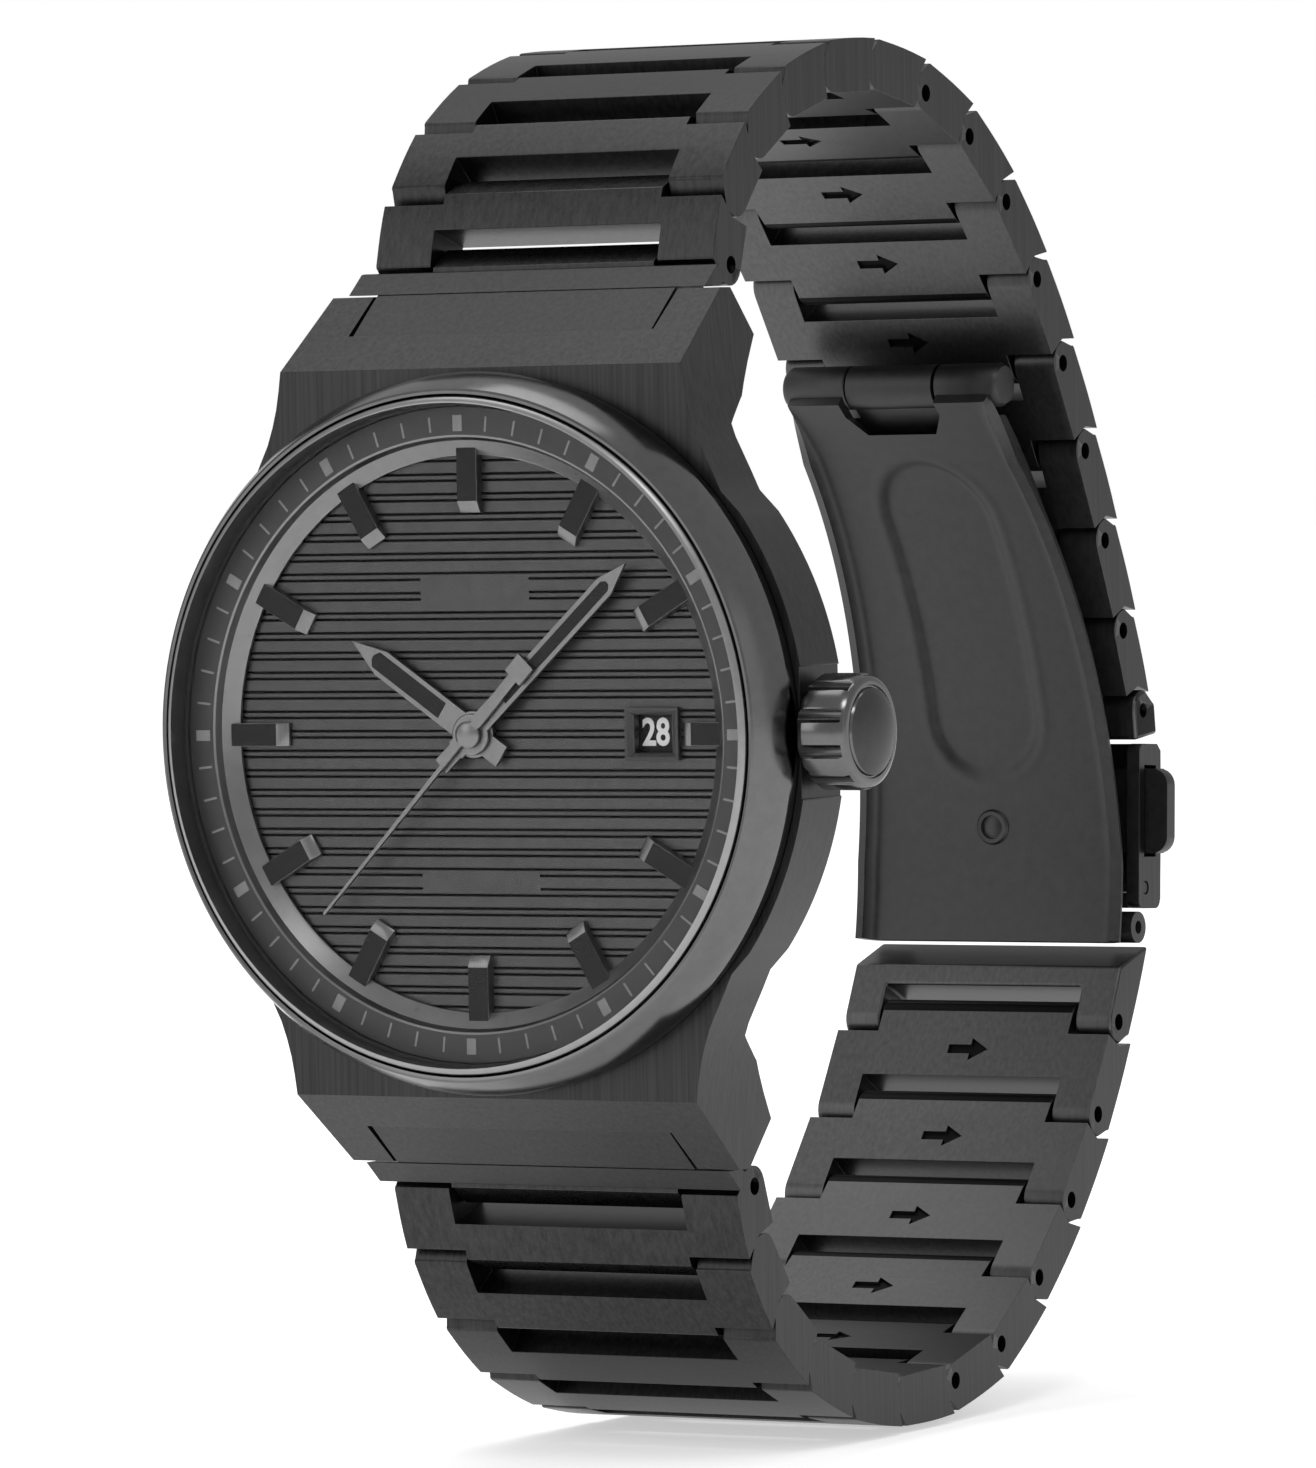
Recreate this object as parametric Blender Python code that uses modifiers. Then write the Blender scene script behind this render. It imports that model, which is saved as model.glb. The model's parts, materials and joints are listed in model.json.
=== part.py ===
"""Wristwatch on a link bracelet, closed into its wearing loop.

Frame: the origin is the centre of the case back's flat outer face, which rests
on the wrist. +X points to the crown (3 o'clock), +Z to 12 o'clock, and the dial
looks along -Y. The bracelet closes behind the case, at +Y.
All sizes are in millimetres and are turned into metres by MM.
"""
import math

import bmesh
import bpy
from mathutils import Matrix, Vector

MM = 0.001

# --- running and seating clearances ---
FIT = 0.1            # between two seated faces
RUN = 0.15           # between a turning part and what it runs in
SLIDE = 0.2          # beside a link tongue, a blade or a button

# --- watch head: depths along Y, from the wrist (0) to the glass ---
BACK_T = 1.55        # case back plate
BACK_LIP = 0.6       # height of its outer chamfer
REAR_Y = -1.0        # rear face of the case band
FACE_Y = -5.25       # front face of the case band, outside the bezel
FRONT_Y = -6.2       # front of the collar that carries the track ring, inside the bezel
BEZEL_H = 2.6        # bezel above the collar
GLASS_T = 1.35       # crystal
DIAL_T = 0.4
TRACK_H = 1.3        # minute track above the band
PLATE_T = 0.85
DATE_T = 0.3

# --- watch head: radii and plan sizes ---
BORE_R = 18.0        # inside of the case band
CASE_WALL = 2.4      # band wall at 3 and 9 o'clock
BEZEL_STEP = 0.4     # band showing outside the bezel
BEZEL_CHAMFER = 0.8
SEAT_W = 0.6         # ledge round the bore that carries the track ring
TRACK_R = 16.4       # inner edge of the flat minute track
CONE_R = 15.4        # foot of the sloped inner wall
BACK_R = 16.9        # case back
BACK_LEDGE = 1.0
MARK_R = 12.2        # inner end of the hour bars
MARK_W = 1.3
MARK_H = 0.4
MARK3_R = 13.3       # the 3 o'clock bar starts outside the date
DATE_X = 11.3
DATE_HOLE = (2.4, 2.1)
DATE_FRAME = (3.4, 2.9)
HOUR_LEN = 9.3
MINUTE_LEN = 13.8
SECOND_LEN = 13.85
HAND_T = 0.2

# --- lugs ---
CREASE_Z = 20.2      # where the band's front breaks into the lug slope
LUG_Z = 24.3         # lug tips
LUG_TIP_Y = -0.1     # front corner of a lug tip
LUG_TIP_T = 1.1      # flat end of a lug, from front to back
LUG_DROP = 3.1       # lowest point of the lugs, behind the case back
LUG_W = 2.7          # thickness of a lug at its tip

# --- crown ---
CROWN_R = 3.2
CROWN_L = 3.1
CROWN_Y = -3.5
FLUTES = 10
FLUTE_DEPTH = 0.45
STEM_R = 0.5
TUBE_R = 1.25
STEM_L = 9.8         # how far the stem reaches in from the bore

# --- bracelet ---
LINKS_12, LINKS_6 = 14, 12
WIDTH_12, WIDTH_6 = (22.0, 17.2), (22.4, 18.2)     # at the case, at the clasp
PITCH_12, PITCH_6 = (4.0, 6.0), (4.1, 6.2)         # first link, full link
PITCH_RAMP = 5                                     # links until the full pitch
LEG_W = (3.6, 2.4)                                 # at the case, at the clasp
OUTER = (1.9, 1.5)                                 # metal outside the pin line
EYE_R = 1.2                                        # metal round each pin
LIP = 0.35                                         # outer corner of a leg, past its pin
PIN_R = 0.5
PIN_PLAY = 0.12
WINDOW = 0.65                                      # open slot behind each tongue
HEAD_DIR = 8.0                                     # end link against the dial plane
TURN_12 = (10, 24, 18, 14, 14, 13, 13, 15, 10, 7, 5, 3, 2, 4)
TURN_6 = (13, 16, 17, 15, 13, 11, 13, 19, 9, 8, 8, 5)
PIN1 = (3.8, 25.6)                                 # first pin: behind the case back, above centre

# --- folding clasp ---
CLASP_W = 18.2
CONN_L = 3.3         # short link between bracelet and cover
CONN_TURN = 14.0     # turn of that link from the last one
COVER_TURN = 9.0
BLADE_LEAN = 2.0     # blades against the cover
COVER_L = 10.3
COVER_T = 2.75
COVER_WALL = 0.85
BLADE_ARC = 34.6     # radius of the inner blade
BLADE_T = 0.8
BLADE_LEN = 34.0     # between the fold hinge and the cover hinge
BLADE_W = (7.0, 9.1) # half width at the fold hinge, at the other end
BLADE_ROLL = 1.1     # height of the inner blade's turned-up edges
MID_W = 6.3
FOLD_R = 1.3
KNUCKLE_W = 2.9      # half width of the middle knuckle
COVER_PIN_R = 0.4
COVER_KNUCKLE_R = 0.95
COVER_PIN_IN = 1.25  # the cover's hinge, from its free end
END_EYE_R = 0.95
END_GAP = 0.35       # clearance at the open pivot
BUTTON_L = 5.1
BUTTON_T = 1.0
BUTTON_OUT = 1.4
BUTTON_TRAVEL = 0.8
BUTTON_IN = 2.3      # how far a button reaches into the cover

CASE_R = BORE_R + CASE_WALL
BEZEL_R = CASE_R - BEZEL_STEP
SEAT_R = BORE_R + SEAT_W
GLASS_R = SEAT_R
TRACK_Y = FRONT_Y - TRACK_H
GLASS_Y = TRACK_Y - 0.25
DIAL_Y = FRONT_Y + FIT
CASE_LUG_X = WIDTH_12[0] / 2 - 1.1              # inner faces of the lugs
END_Z = CREASE_Z + 1.9                          # band edge between the lugs
FAR = 30.0                                      # past every face, for cutters


# ---------------------------------------------------------------- helpers

def material(name, color, rough, metal):
    """Principled material, made once per name."""
    mat = bpy.data.materials.get(name)
    if mat is None:
        mat = bpy.data.materials.new(name)
        mat.use_nodes = True
        bsdf = mat.node_tree.nodes["Principled BSDF"]
        bsdf.inputs["Base Color"].default_value = (*color, 1)
        bsdf.inputs["Roughness"].default_value = rough
        bsdf.inputs["Metallic"].default_value = metal
    return mat


STEEL = ("black_steel", (0.035, 0.035, 0.037), 0.38, 1.0)
POLISHED = ("polished_black", (0.03, 0.03, 0.032), 0.15, 1.0)
BRIGHT = ("bright_steel", (0.55, 0.55, 0.56), 0.25, 1.0)
BRASS = ("movement_brass", (0.6, 0.45, 0.2), 0.3, 1.0)
DIAL_BLACK = ("dial_black", (0.012, 0.012, 0.013), 0.5, 0.0)
RING_GREY = ("ring_grey", (0.25, 0.25, 0.26), 0.4, 0.6)
GLASS = ("sapphire", (0.9, 0.92, 0.93), 0.02, 0.0)
RUBBER = ("seal_rubber", (0.02, 0.02, 0.02), 0.7, 0.0)
WHITE = ("date_white", (0.8, 0.8, 0.8), 0.5, 0.0)

for old in list(bpy.data.objects):
    bpy.data.objects.remove(old, do_unlink=True)
WATCH = bpy.data.collections.new("wristwatch")
bpy.context.scene.collection.children.link(WATCH)


def evaluated(obj):
    """The object's mesh as its modifiers leave it, welded and facing out."""
    bpy.context.view_layer.update()
    deps = bpy.context.evaluated_depsgraph_get()
    mesh = bpy.data.meshes.new_from_object(obj.evaluated_get(deps))
    bm = bmesh.new()
    bm.from_mesh(mesh)
    bmesh.ops.remove_doubles(bm, verts=bm.verts, dist=1e-6)
    bmesh.ops.dissolve_degenerate(bm, edges=bm.edges, dist=1e-7)
    bmesh.ops.recalc_face_normals(bm, faces=bm.faces)
    bm.to_mesh(mesh)
    bm.free()
    return mesh


def solid(mesh, name="piece"):
    """An object for a mesh, in the watch's collection."""
    obj = bpy.data.objects.new(name, mesh)
    WATCH.objects.link(obj)
    return obj


def bake(obj, matrix=None):
    """Replace an object by its evaluated mesh, moved by matrix."""
    mesh = evaluated(obj)
    mesh.transform(matrix or Matrix.Identity(4))
    bpy.data.objects.remove(obj, do_unlink=True)
    return solid(mesh)


PLANES = {
    "X": Matrix(((0, 0, 1, 0), (1, 0, 0, 0), (0, 1, 0, 0), (0, 0, 0, 1))),
    "Y": Matrix(((1, 0, 0, 0), (0, 0, -1, 0), (0, 1, 0, 0), (0, 0, 0, 1))),
}


def prism(outline, lo, hi, axis):
    """Extrude a flat outline from lo to hi. Axis X takes (y, z), axis Y takes (x, z)."""
    curve = bpy.data.curves.new("outline", "CURVE")
    curve.dimensions, curve.fill_mode = "2D", "BOTH"
    curve.extrude = (hi - lo) / 2 * MM
    spline = curve.splines.new("POLY")
    spline.points.add(len(outline) - 1)
    for point, (u, v) in zip(spline.points, outline):
        point.co = (u * MM, v * MM, 0, 1)
    spline.use_cyclic_u = True
    obj = bpy.data.objects.new("outline", curve)
    WATCH.objects.link(obj)
    shift = {"X": Vector(((lo + hi) / 2 * MM, 0, 0)), "Y": Vector((0, (lo + hi) / 2 * MM, 0))}[axis]
    return bake(obj, Matrix.Translation(shift) @ PLANES[axis])


def turned(profile, axis="Y", at=(0, 0, 0), steps=48):
    """Turn a profile of (radius, height) points about the axis through at.

    A profile that starts and ends on the axis is a solid, any other is closed to a ring.
    """
    mesh = bpy.data.meshes.new("profile")
    on_axis = profile[0][0] == 0 and profile[-1][0] == 0
    count = len(profile)
    edges = [(i, (i + 1) % count) for i in range(count - (1 if on_axis else 0))]
    mesh.from_pydata([(r * MM, 0, h * MM) for r, h in profile], edges, [])
    obj = solid(mesh)
    screw = obj.modifiers.new("turn", "SCREW")
    screw.axis = "Z"
    screw.steps = screw.render_steps = steps
    screw.use_merge_vertices = True
    screw.merge_threshold = 1e-5
    turn = {"Y": Matrix.Rotation(-math.pi / 2, 4, "X"), "X": Matrix.Rotation(math.pi / 2, 4, "Y")}[axis]
    return bake(obj, Matrix.Translation(Vector(at) * MM) @ turn)


def rod(radius, lo, hi, axis, at=(0, 0, 0), steps=16):
    """A plain cylinder along axis from lo to hi."""
    return turned([(0, lo), (radius, lo), (radius, hi), (0, hi)], axis, at, steps)


def box(x, y, z):
    """A block given by its three ranges."""
    bm = bmesh.new()
    bmesh.ops.create_cube(bm, size=1)
    for vert in bm.verts:
        vert.co = [(r[0] + r[1]) / 2 * MM + c * (r[1] - r[0]) * MM for r, c in zip((x, y, z), vert.co)]
    mesh = bpy.data.meshes.new("block")
    bm.to_mesh(mesh)
    bm.free()
    return solid(mesh)


def combine(obj, others, how):
    """Boolean the others into obj, one after another."""
    for other in others:
        mod = obj.modifiers.new(how.lower(), "BOOLEAN")
        mod.operation, mod.object, mod.solver = how, other, "EXACT"
    result = bake(obj)
    for other in others:
        bpy.data.objects.remove(other, do_unlink=True)
    return result


def cut(obj, *others):
    """Take the others away from obj."""
    return combine(obj, others, "DIFFERENCE")


def join(obj, *others):
    """Make obj and the others one closed body."""
    return combine(obj, others, "UNION")


def name_piece(obj, name, look, pivot=(0, 0, 0)):
    """Name a finished piece, give it its material and set its origin on its pivot."""
    obj.name = obj.data.name = name
    move = Vector(pivot) * MM
    obj.data.transform(Matrix.Translation(-move))
    obj.location = move
    obj.data.materials.clear()
    obj.data.materials.append(material(*look))
    obj.data.shade_smooth()
    obj.data.set_sharp_from_angle(angle=math.radians(30))
    return obj


def lerp(pair, share):
    """Value a share of the way through a pair, held at its ends."""
    return pair[0] + (pair[1] - pair[0]) * min(1.0, max(0.0, share))


def mirrored_z(points):
    """Complete an outline given for +z, from the front round to the back."""
    return points + [(u, -v) for u, v in reversed(points)]


# ---------------------------------------------------------------- watch head

def make_case():
    """Case band with its four lugs, bored through and notched for the end links."""
    arc = [(CASE_R * math.cos(math.radians(a)), CASE_R * math.sin(math.radians(a)))
           for a in (0, 4, 9, 14, 19, 24, 29, 33, 37)]
    lug_out = CASE_LUG_X + LUG_W
    waist = [(lug_out + out, CREASE_Z - below) for out, below in ((2.3, 6.0), (1.3, 4.1), (0.7, 2.1), (0.35, 0.0))]
    right = arc + waist + [(lug_out, LUG_Z), (CASE_LUG_X, LUG_Z), (CASE_LUG_X, END_Z)]
    quarter = right + [(-x, z) for x, z in reversed(right)]
    outline = quarter + [(-x, -z) for x, z in quarter[1:-1]]
    case = prism(outline, FACE_Y, LUG_DROP + 1, "Y")
    side = [(FACE_Y, CREASE_Z), (LUG_TIP_Y, LUG_Z), (LUG_TIP_Y + LUG_TIP_T, LUG_Z), (LUG_DROP, LUG_Z - 2.6),
            (LUG_DROP - 2.2, CREASE_Z - 1.9), (REAR_Y, CREASE_Z - 3.4)]
    case = combine(case, [prism(mirrored_z(side), -FAR, FAR, "X")], "INTERSECT")
    case = join(case, rod(SEAT_R, FRONT_Y, FACE_Y + 1, "Y", steps=48))
    seat, ledge = BACK_R + SLIDE, BACK_R + SLIDE - BACK_LEDGE
    ledge_y, stop_y = -BACK_T - 0.4, -BACK_T - 0.85
    bore = turned([(0, FRONT_Y - 2), (BORE_R, FRONT_Y - 2), (BORE_R, stop_y), (ledge, stop_y),
                   (ledge, ledge_y), (seat, ledge_y), (seat, LUG_DROP + 2), (0, LUG_DROP + 2)])
    pocket = box((CASE_R - 0.4, CASE_R + 3), (-FAR, FAR), (-CROWN_R - 0.4, CROWN_R + 0.4))
    hole = rod(TUBE_R + FIT, BORE_R - 2, CASE_R + 2, "X", (0, CROWN_Y, 0))
    name_piece(cut(case, bore, pocket, hole), "case_middle", STEEL)


def make_bezel():
    """Bezel: a steep cone round the crystal, standing on the band."""
    inner = GLASS_R + RUN
    top = FRONT_Y - BEZEL_H
    name_piece(turned([(inner, top), (inner, FACE_Y - FIT), (BEZEL_R, FACE_Y - FIT), (BEZEL_R, top + 1.2),
                       (BEZEL_R - BEZEL_CHAMFER, top)]), "bezel", POLISHED)


def make_glass():
    """Flat crystal with a bevelled edge, and the gasket under it."""
    low, top, bevel = GLASS_Y, GLASS_Y - GLASS_T, 0.3
    name_piece(turned([(0, low), (GLASS_R, low), (GLASS_R, top + bevel), (GLASS_R - bevel, top), (0, top)]),
               "crystal", GLASS)
    name_piece(turned([(BORE_R + 0.15, low + FIT), (SEAT_R, low + FIT), (SEAT_R, low + 0.45),
                       (BORE_R + 0.15, low + 0.45)]), "crystal_gasket", RUBBER)


def make_chapter_ring():
    """Minute track with its sloped inner wall; the twelve hour bars hang on the slope's foot."""
    foot = FRONT_Y - FIT
    rim = GLASS_Y + 0.55
    wall = BORE_R + 0.05
    ring = turned([(CONE_R, foot), (SEAT_R, foot), (SEAT_R, rim), (wall, rim), (wall, TRACK_Y),
                   (TRACK_R, TRACK_Y), (CONE_R, foot - 0.2)], steps=60)
    bars = []
    for hour in range(12):
        start = MARK3_R if hour == 3 else MARK_R
        bar = box((-MARK_W / 2, MARK_W / 2), (foot - MARK_H, foot), (start, TRACK_R))
        bar.data.transform(Matrix.Rotation(math.radians(30 * hour), 4, "Y"))
        bars.append(bar)
    name_piece(join(ring, *bars), "chapter_ring", RING_GREY)


def make_dial():
    """Dial with its date window and centre hole, and the frame round the window."""
    disc = rod(BORE_R - SLIDE, DIAL_Y, DIAL_Y + DIAL_T, "Y", steps=48)
    half = DATE_HOLE[0] / 2, DATE_HOLE[1] / 2
    window = box((DATE_X - half[0], DATE_X + half[0]), (DIAL_Y - 1, DIAL_Y + 1), (-half[1], half[1]))
    name_piece(cut(disc, window, rod(1.1, DIAL_Y - 1, DIAL_Y + 1, "Y")), "dial", DIAL_BLACK)
    outer = DATE_FRAME[0] / 2, DATE_FRAME[1] / 2
    top = DIAL_Y - FIT
    frame = box((DATE_X - outer[0], DATE_X + outer[0]), (top - 0.15, top), (-outer[1], outer[1]))
    frame = cut(frame, box((DATE_X - half[0], DATE_X + half[0]), (top - 1, top + 1), (-half[1], half[1])))
    name_piece(frame, "date_frame", RING_GREY)


def make_movement():
    """Movement holder, date disc, plate, barrel, balance, rotor bridge and rotor, from the dial to the back."""
    ring_top = DIAL_Y + DIAL_T + RUN
    ring_in = BORE_R - 3.2
    ring_low = -BACK_T - 0.95
    ring = turned([(ring_in, ring_top), (BORE_R - FIT, ring_top), (BORE_R - FIT, ring_low), (ring_in, ring_low)],
                  steps=40)
    ring = cut(ring, rod(STEM_R + 0.3, ring_in - 1, BORE_R + 1, "X", (0, CROWN_Y, 0), 12))
    name_piece(ring, "movement_ring", BRIGHT)

    date_top = DIAL_Y + DIAL_T + SLIDE
    date_in, date_out = DATE_X - 2.1, DATE_X + 2.3
    name_piece(turned([(date_in, date_top), (date_out, date_top), (date_out, date_top + DATE_T),
                       (date_in, date_top + DATE_T)], steps=40), "date_disc", WHITE)

    plate_top = date_top + DATE_T + SLIDE
    plate_low = plate_top + PLATE_T
    name_piece(rod(ring_in - SLIDE, plate_top, plate_low, "Y", steps=40), "main_plate", BRASS)

    low = plate_low + RUN
    barrel_t = 0.7
    name_piece(rod(4.5, low, low + barrel_t, "Y", (-6, 0, 5), 24), "barrel", BRASS)

    wheel_x, wheel_z, wheel_r, wheel_t = 5.5, -6.5, 4.0, 0.35
    wheel = turned([(wheel_r - 0.7, low), (wheel_r, low), (wheel_r, low + wheel_t), (wheel_r - 0.7, low + wheel_t)],
                   at=(wheel_x, 0, wheel_z), steps=28)
    spokes = box((wheel_x - 0.4, wheel_x + 0.4), (low + 0.05, low + 0.3), (wheel_z - 3.6, wheel_z + 3.6))
    staff = rod(0.6, low - 0.05, low + 0.6, "Y", (wheel_x, 0, wheel_z), 12)
    name_piece(join(wheel, spokes, staff), "balance_wheel", BRIGHT, (wheel_x, low, wheel_z))

    bridge, bridge_t = low + barrel_t + SLIDE, 0.5
    name_piece(rod(7.4, bridge, bridge + bridge_t, "Y", steps=32), "rotor_bridge", BRIGHT)

    rotor_top, rotor_t = bridge + bridge_t + SLIDE, 0.5
    weight = rod(ring_in - 0.5, rotor_top, rotor_top + rotor_t, "Y", steps=40)
    weight = cut(weight, box((-FAR, FAR), (-FAR, FAR), (0, FAR)))
    hub = rod(1.6, rotor_top - 0.05, rotor_top + rotor_t + 0.05, "Y", steps=16)
    name_piece(join(weight, hub), "rotor", BRIGHT, (0, rotor_top, 0))


def make_case_back():
    """Screwed back with its chamfered rim, and its gasket."""
    name_piece(turned([(0, -BACK_T), (BACK_R, -BACK_T), (BACK_R, -BACK_LIP), (BACK_R - 1.7, 0), (0, 0)]),
               "case_back", STEEL)
    inner, near, far = BACK_R - BACK_LEDGE + 0.3, -BACK_T - FIT, -BACK_T - 0.3
    name_piece(turned([(inner, near), (BACK_R, near), (BACK_R, far), (inner, far)], steps=40),
               "case_back_gasket", RUBBER)


def make_crown():
    """Fluted crown on its stem, the tube it turns in and the lever that holds the stem."""
    seat = CASE_R - 0.4
    axis = (0, CROWN_Y, 0)
    bore = STEM_R + 0.3
    tube = turned([(bore, BORE_R + 0.2), (TUBE_R, BORE_R + 0.2), (TUBE_R, seat + 0.2), (bore, seat + 0.2)],
                  "X", axis, 16)
    name_piece(tube, "crown_tube", BRIGHT)

    base = seat + 0.35
    tip = base + CROWN_L
    ridge, groove = CROWN_R, CROWN_R - FLUTE_DEPTH
    tooth = ((-0.36, ridge), (-0.12, ridge * 0.995), (0.12, ridge * 0.995), (0.36, ridge),
             (0.43, groove), (0.57, groove))
    outline = []
    for i in range(FLUTES):
        for share, r in tooth:
            a = 2 * math.pi * (i + share) / FLUTES
            outline.append((CROWN_Y + r * math.cos(a), r * math.sin(a)))
    body = prism(outline, base, tip, "X")
    rim = CROWN_R - 0.5
    dome = turned([(0, tip - 1), (rim, tip - 1), (rim, tip + 0.2), (rim - 0.7, tip + 0.5), (0, tip + 0.6)],
                  "X", axis, 30)
    name_piece(join(body, dome), "crown", POLISHED, (base, CROWN_Y, 0))

    stem_end = BORE_R - STEM_L
    name_piece(rod(STEM_R, stem_end, base - FIT, "X", axis, 12), "winding_stem", BRIGHT, (base, CROWN_Y, 0))
    lever_end = stem_end - SLIDE
    name_piece(box((lever_end - 1.0, lever_end), (CROWN_Y - 0.4, CROWN_Y + 0.3), (-1.2, 1.2)), "setting_lever",
               BRIGHT, (lever_end, CROWN_Y, 0))


def make_hand(name, length, tail, width, hub, level, pipe, bore, angle):
    """A pointed hand lying on its hub; the pipe runs down through the dial."""
    half, neck = width / 2, length - width * 1.6
    outline = [(-half, -tail), (half, -tail), (half, neck), (0, length), (-half, neck)]
    hand = prism(outline, level - HAND_T, level, "Y")
    low = DIAL_Y + DIAL_T + 0.05
    boss = rod(hub, level - HAND_T - 0.02, level + 0.02, "Y", steps=20)
    hand = join(hand, boss, rod(pipe, level - 0.1, low, "Y", steps=16))
    if bore:
        hand = cut(hand, rod(bore, level - 2, low + 1, "Y", steps=16))
    hand.data.transform(Matrix.Rotation(math.radians(angle), 4, "Y"))
    name_piece(hand, name, RING_GREY)


def make_hands():
    """Hour, minute and second hands, each 0.3 mm above the last."""
    hour = FRONT_Y - 0.27
    make_hand("hour_hand", HOUR_LEN, 2.2, 1.5, 1.15, hour, 0.9, 0.68, 304)
    make_hand("minute_hand", MINUTE_LEN, 2.6, 1.2, 1.0, hour - 0.3, 0.53, 0.36, 47.5)
    make_hand("second_hand", SECOND_LEN, 5.6, 0.36, 0.75, hour - 0.6, 0.24, 0, 224)


# ---------------------------------------------------------------- bracelet path

def pitch_of(pair, k):
    """Length of link k, growing over the first links."""
    return lerp(pair, (k - 1) / PITCH_RAMP)


def walk(start, turns, pair, count, scale=1.0, lean=0.0, last=None):
    """Pins and headings of a chain that leaves the case at start; +v is away from the case centre."""
    pins, heads = [start], []
    heading = HEAD_DIR + lean
    for k in range(1, count + 1):
        heading += turns[k - 1] * scale
        step = last if last and k == count else pitch_of(pair, k)
        y, v = pins[-1]
        pins.append((y + step * math.sin(math.radians(heading)), v + step * math.cos(math.radians(heading))))
        heads.append(heading)
    return pins, heads


def reach(target, turns, pair, count):
    """Scale and lean the turns of the second chain so that it ends on the target."""
    guess = [1.0, 0.0]

    def miss(g):
        end = walk(PIN1, turns, pair, count, g[0], g[1])[0][-1]
        return end[0] - target[0], end[1] - target[1]

    for _ in range(30):
        m = miss(guess)
        if max(map(abs, m)) < 1e-6:
            break
        ds = [(b - a) / 1e-5 for a, b in zip(m, miss((guess[0] + 1e-5, guess[1])))]
        dl = [(b - a) / 1e-4 for a, b in zip(m, miss((guess[0], guess[1] + 1e-4)))]
        det = ds[0] * dl[1] - ds[1] * dl[0]
        guess[0] -= (m[0] * dl[1] - m[1] * dl[0]) / det
        guess[1] -= (ds[0] * m[1] - ds[1] * m[0]) / det
    return walk(PIN1, turns, pair, count, guess[0], guess[1])


PINS_12, HEADS_12 = walk(PIN1, TURN_12, PITCH_12, LINKS_12, last=5.2)
CONN = PINS_12[-1]                              # pin between the last link and the connector
CONN_HEAD = HEADS_12[-1] + CONN_TURN
COVER_HEAD = CONN_HEAD + COVER_TURN


def along(point, heading, s, t=0.0):
    """Point s further along a heading (degrees from +Z toward +Y) and t toward the wrist."""
    c, n = math.cos(math.radians(heading)), math.sin(math.radians(heading))
    return point[0] + s * n + t * c, point[1] + s * c - t * n


COVER_TOP = along(CONN, CONN_HEAD, CONN_L / 2)
COVER_PIN = along(COVER_TOP, COVER_HEAD, COVER_L - COVER_PIN_IN, 0.35)
BLADE_OUT = BLADE_ARC + BLADE_T / 2             # outer face of the inner blade
MID_IN = BLADE_OUT + RUN
MID_OUT = MID_IN + BLADE_T
# the blades' common centre lies on the normal through the cover's hinge
ARC_C = along(COVER_PIN, COVER_HEAD + BLADE_LEAN, 0, MID_OUT + 0.8)


def polar(radius, angle):
    """Point of the blades' arc; the angle is measured up from the direction of the cover."""
    a = math.radians(angle)
    return ARC_C[0] + radius * math.cos(a), ARC_C[1] + radius * math.sin(a)


def angle_of(point):
    """Angle of a point of the blades, as polar measures it."""
    return math.degrees(math.atan2(point[1] - ARC_C[1], point[0] - ARC_C[0]))


FOLD_RAD = MID_IN + COVER_KNUCKLE_R
FOLD_ANG = angle_of(COVER_PIN) + math.degrees(BLADE_LEN / FOLD_RAD)
FOLD_PIN = polar(FOLD_RAD, FOLD_ANG)
END_ANG = angle_of(COVER_PIN) - math.degrees((COVER_PIN_IN + 2 * FIT + END_EYE_R) / FOLD_RAD)
END_EYE = polar(MID_IN + 1.05, END_ANG)         # eye that meets the other half of the bracelet
PINS_6, HEADS_6 = reach((END_EYE[0] - 0.1, -END_EYE[1]), TURN_6, PITCH_6, LINKS_6)

# ---------------------------------------------------------------- bracelet pieces

def arc_points(cs, ct, radius, a0, a1, count=4):
    """Points of an arc, angles in degrees."""
    turns = [math.radians(a0 + (a1 - a0) * i / count) for i in range(count + 1)]
    return [(cs + radius * math.cos(a), ct + radius * math.sin(a)) for a in turns]


def to_yz(points):
    """Link profiles are drawn as (along, toward wrist); a prism wants (y, z)."""
    return [(t, s) for s, t in points]


def make_link(name, pitch, width, next_width, leg, next_leg, outer, matrix, stub=None):
    """One H link. Its two legs carry the pin at the origin, its tongue holds the next pin at (pitch, 0).

    With stub set, the tongue is cut off that far along, squared to the loop's closing gap.
    """
    profile = [(-LIP, -outer), (-EYE_R, -0.4)] + arc_points(0, 0, EYE_R, 180, 90, 3)
    profile += arc_points(pitch, 0, EYE_R, 90, 0, 3)
    profile += [(pitch + EYE_R, -0.5), (pitch, -outer), ((pitch - LIP) / 2, -outer - 0.08)]
    link = prism(to_yz(profile), -width / 2, width / 2, "X")
    recess = EYE_R + WINDOW
    inner = width / 2 - leg
    lip, step = pitch - LIP - 0.25, pitch - EYE_R - SLIDE
    shoulder = [(lip, -9), (lip, -outer), (step, -0.4), (step, 9), (pitch + 9, 9), (pitch + 9, -9)]
    tongue = next_width / 2 - next_leg - SLIDE
    cutters = [box((-inner, inner), (-9, 9), (-9, recess))]
    if stub is None:
        cutters += [prism(to_yz(shoulder), lo, hi, "X") for lo, hi in ((-FAR, -tongue), (tongue, FAR))]
        cutters.append(rod(PIN_R + PIN_PLAY, -tongue - 1, tongue + 1, "X", (0, 0, pitch), 12))
    else:
        cutters.append(prism(stub, -20, 20, "X"))
    link = cut(link, *cutters)
    link = join(link, rod(PIN_R, -inner - leg * 0.6, inner + leg * 0.6, "X", steps=12))
    piece = name_piece(link, name, STEEL)
    piece.matrix_world = matrix


def pose_12(pin, heading):
    """Place of a link on the 12 o'clock side."""
    return Matrix.Translation(Vector((0, *pin)) * MM) @ Matrix.Rotation(math.radians(-heading), 4, "X")


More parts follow.
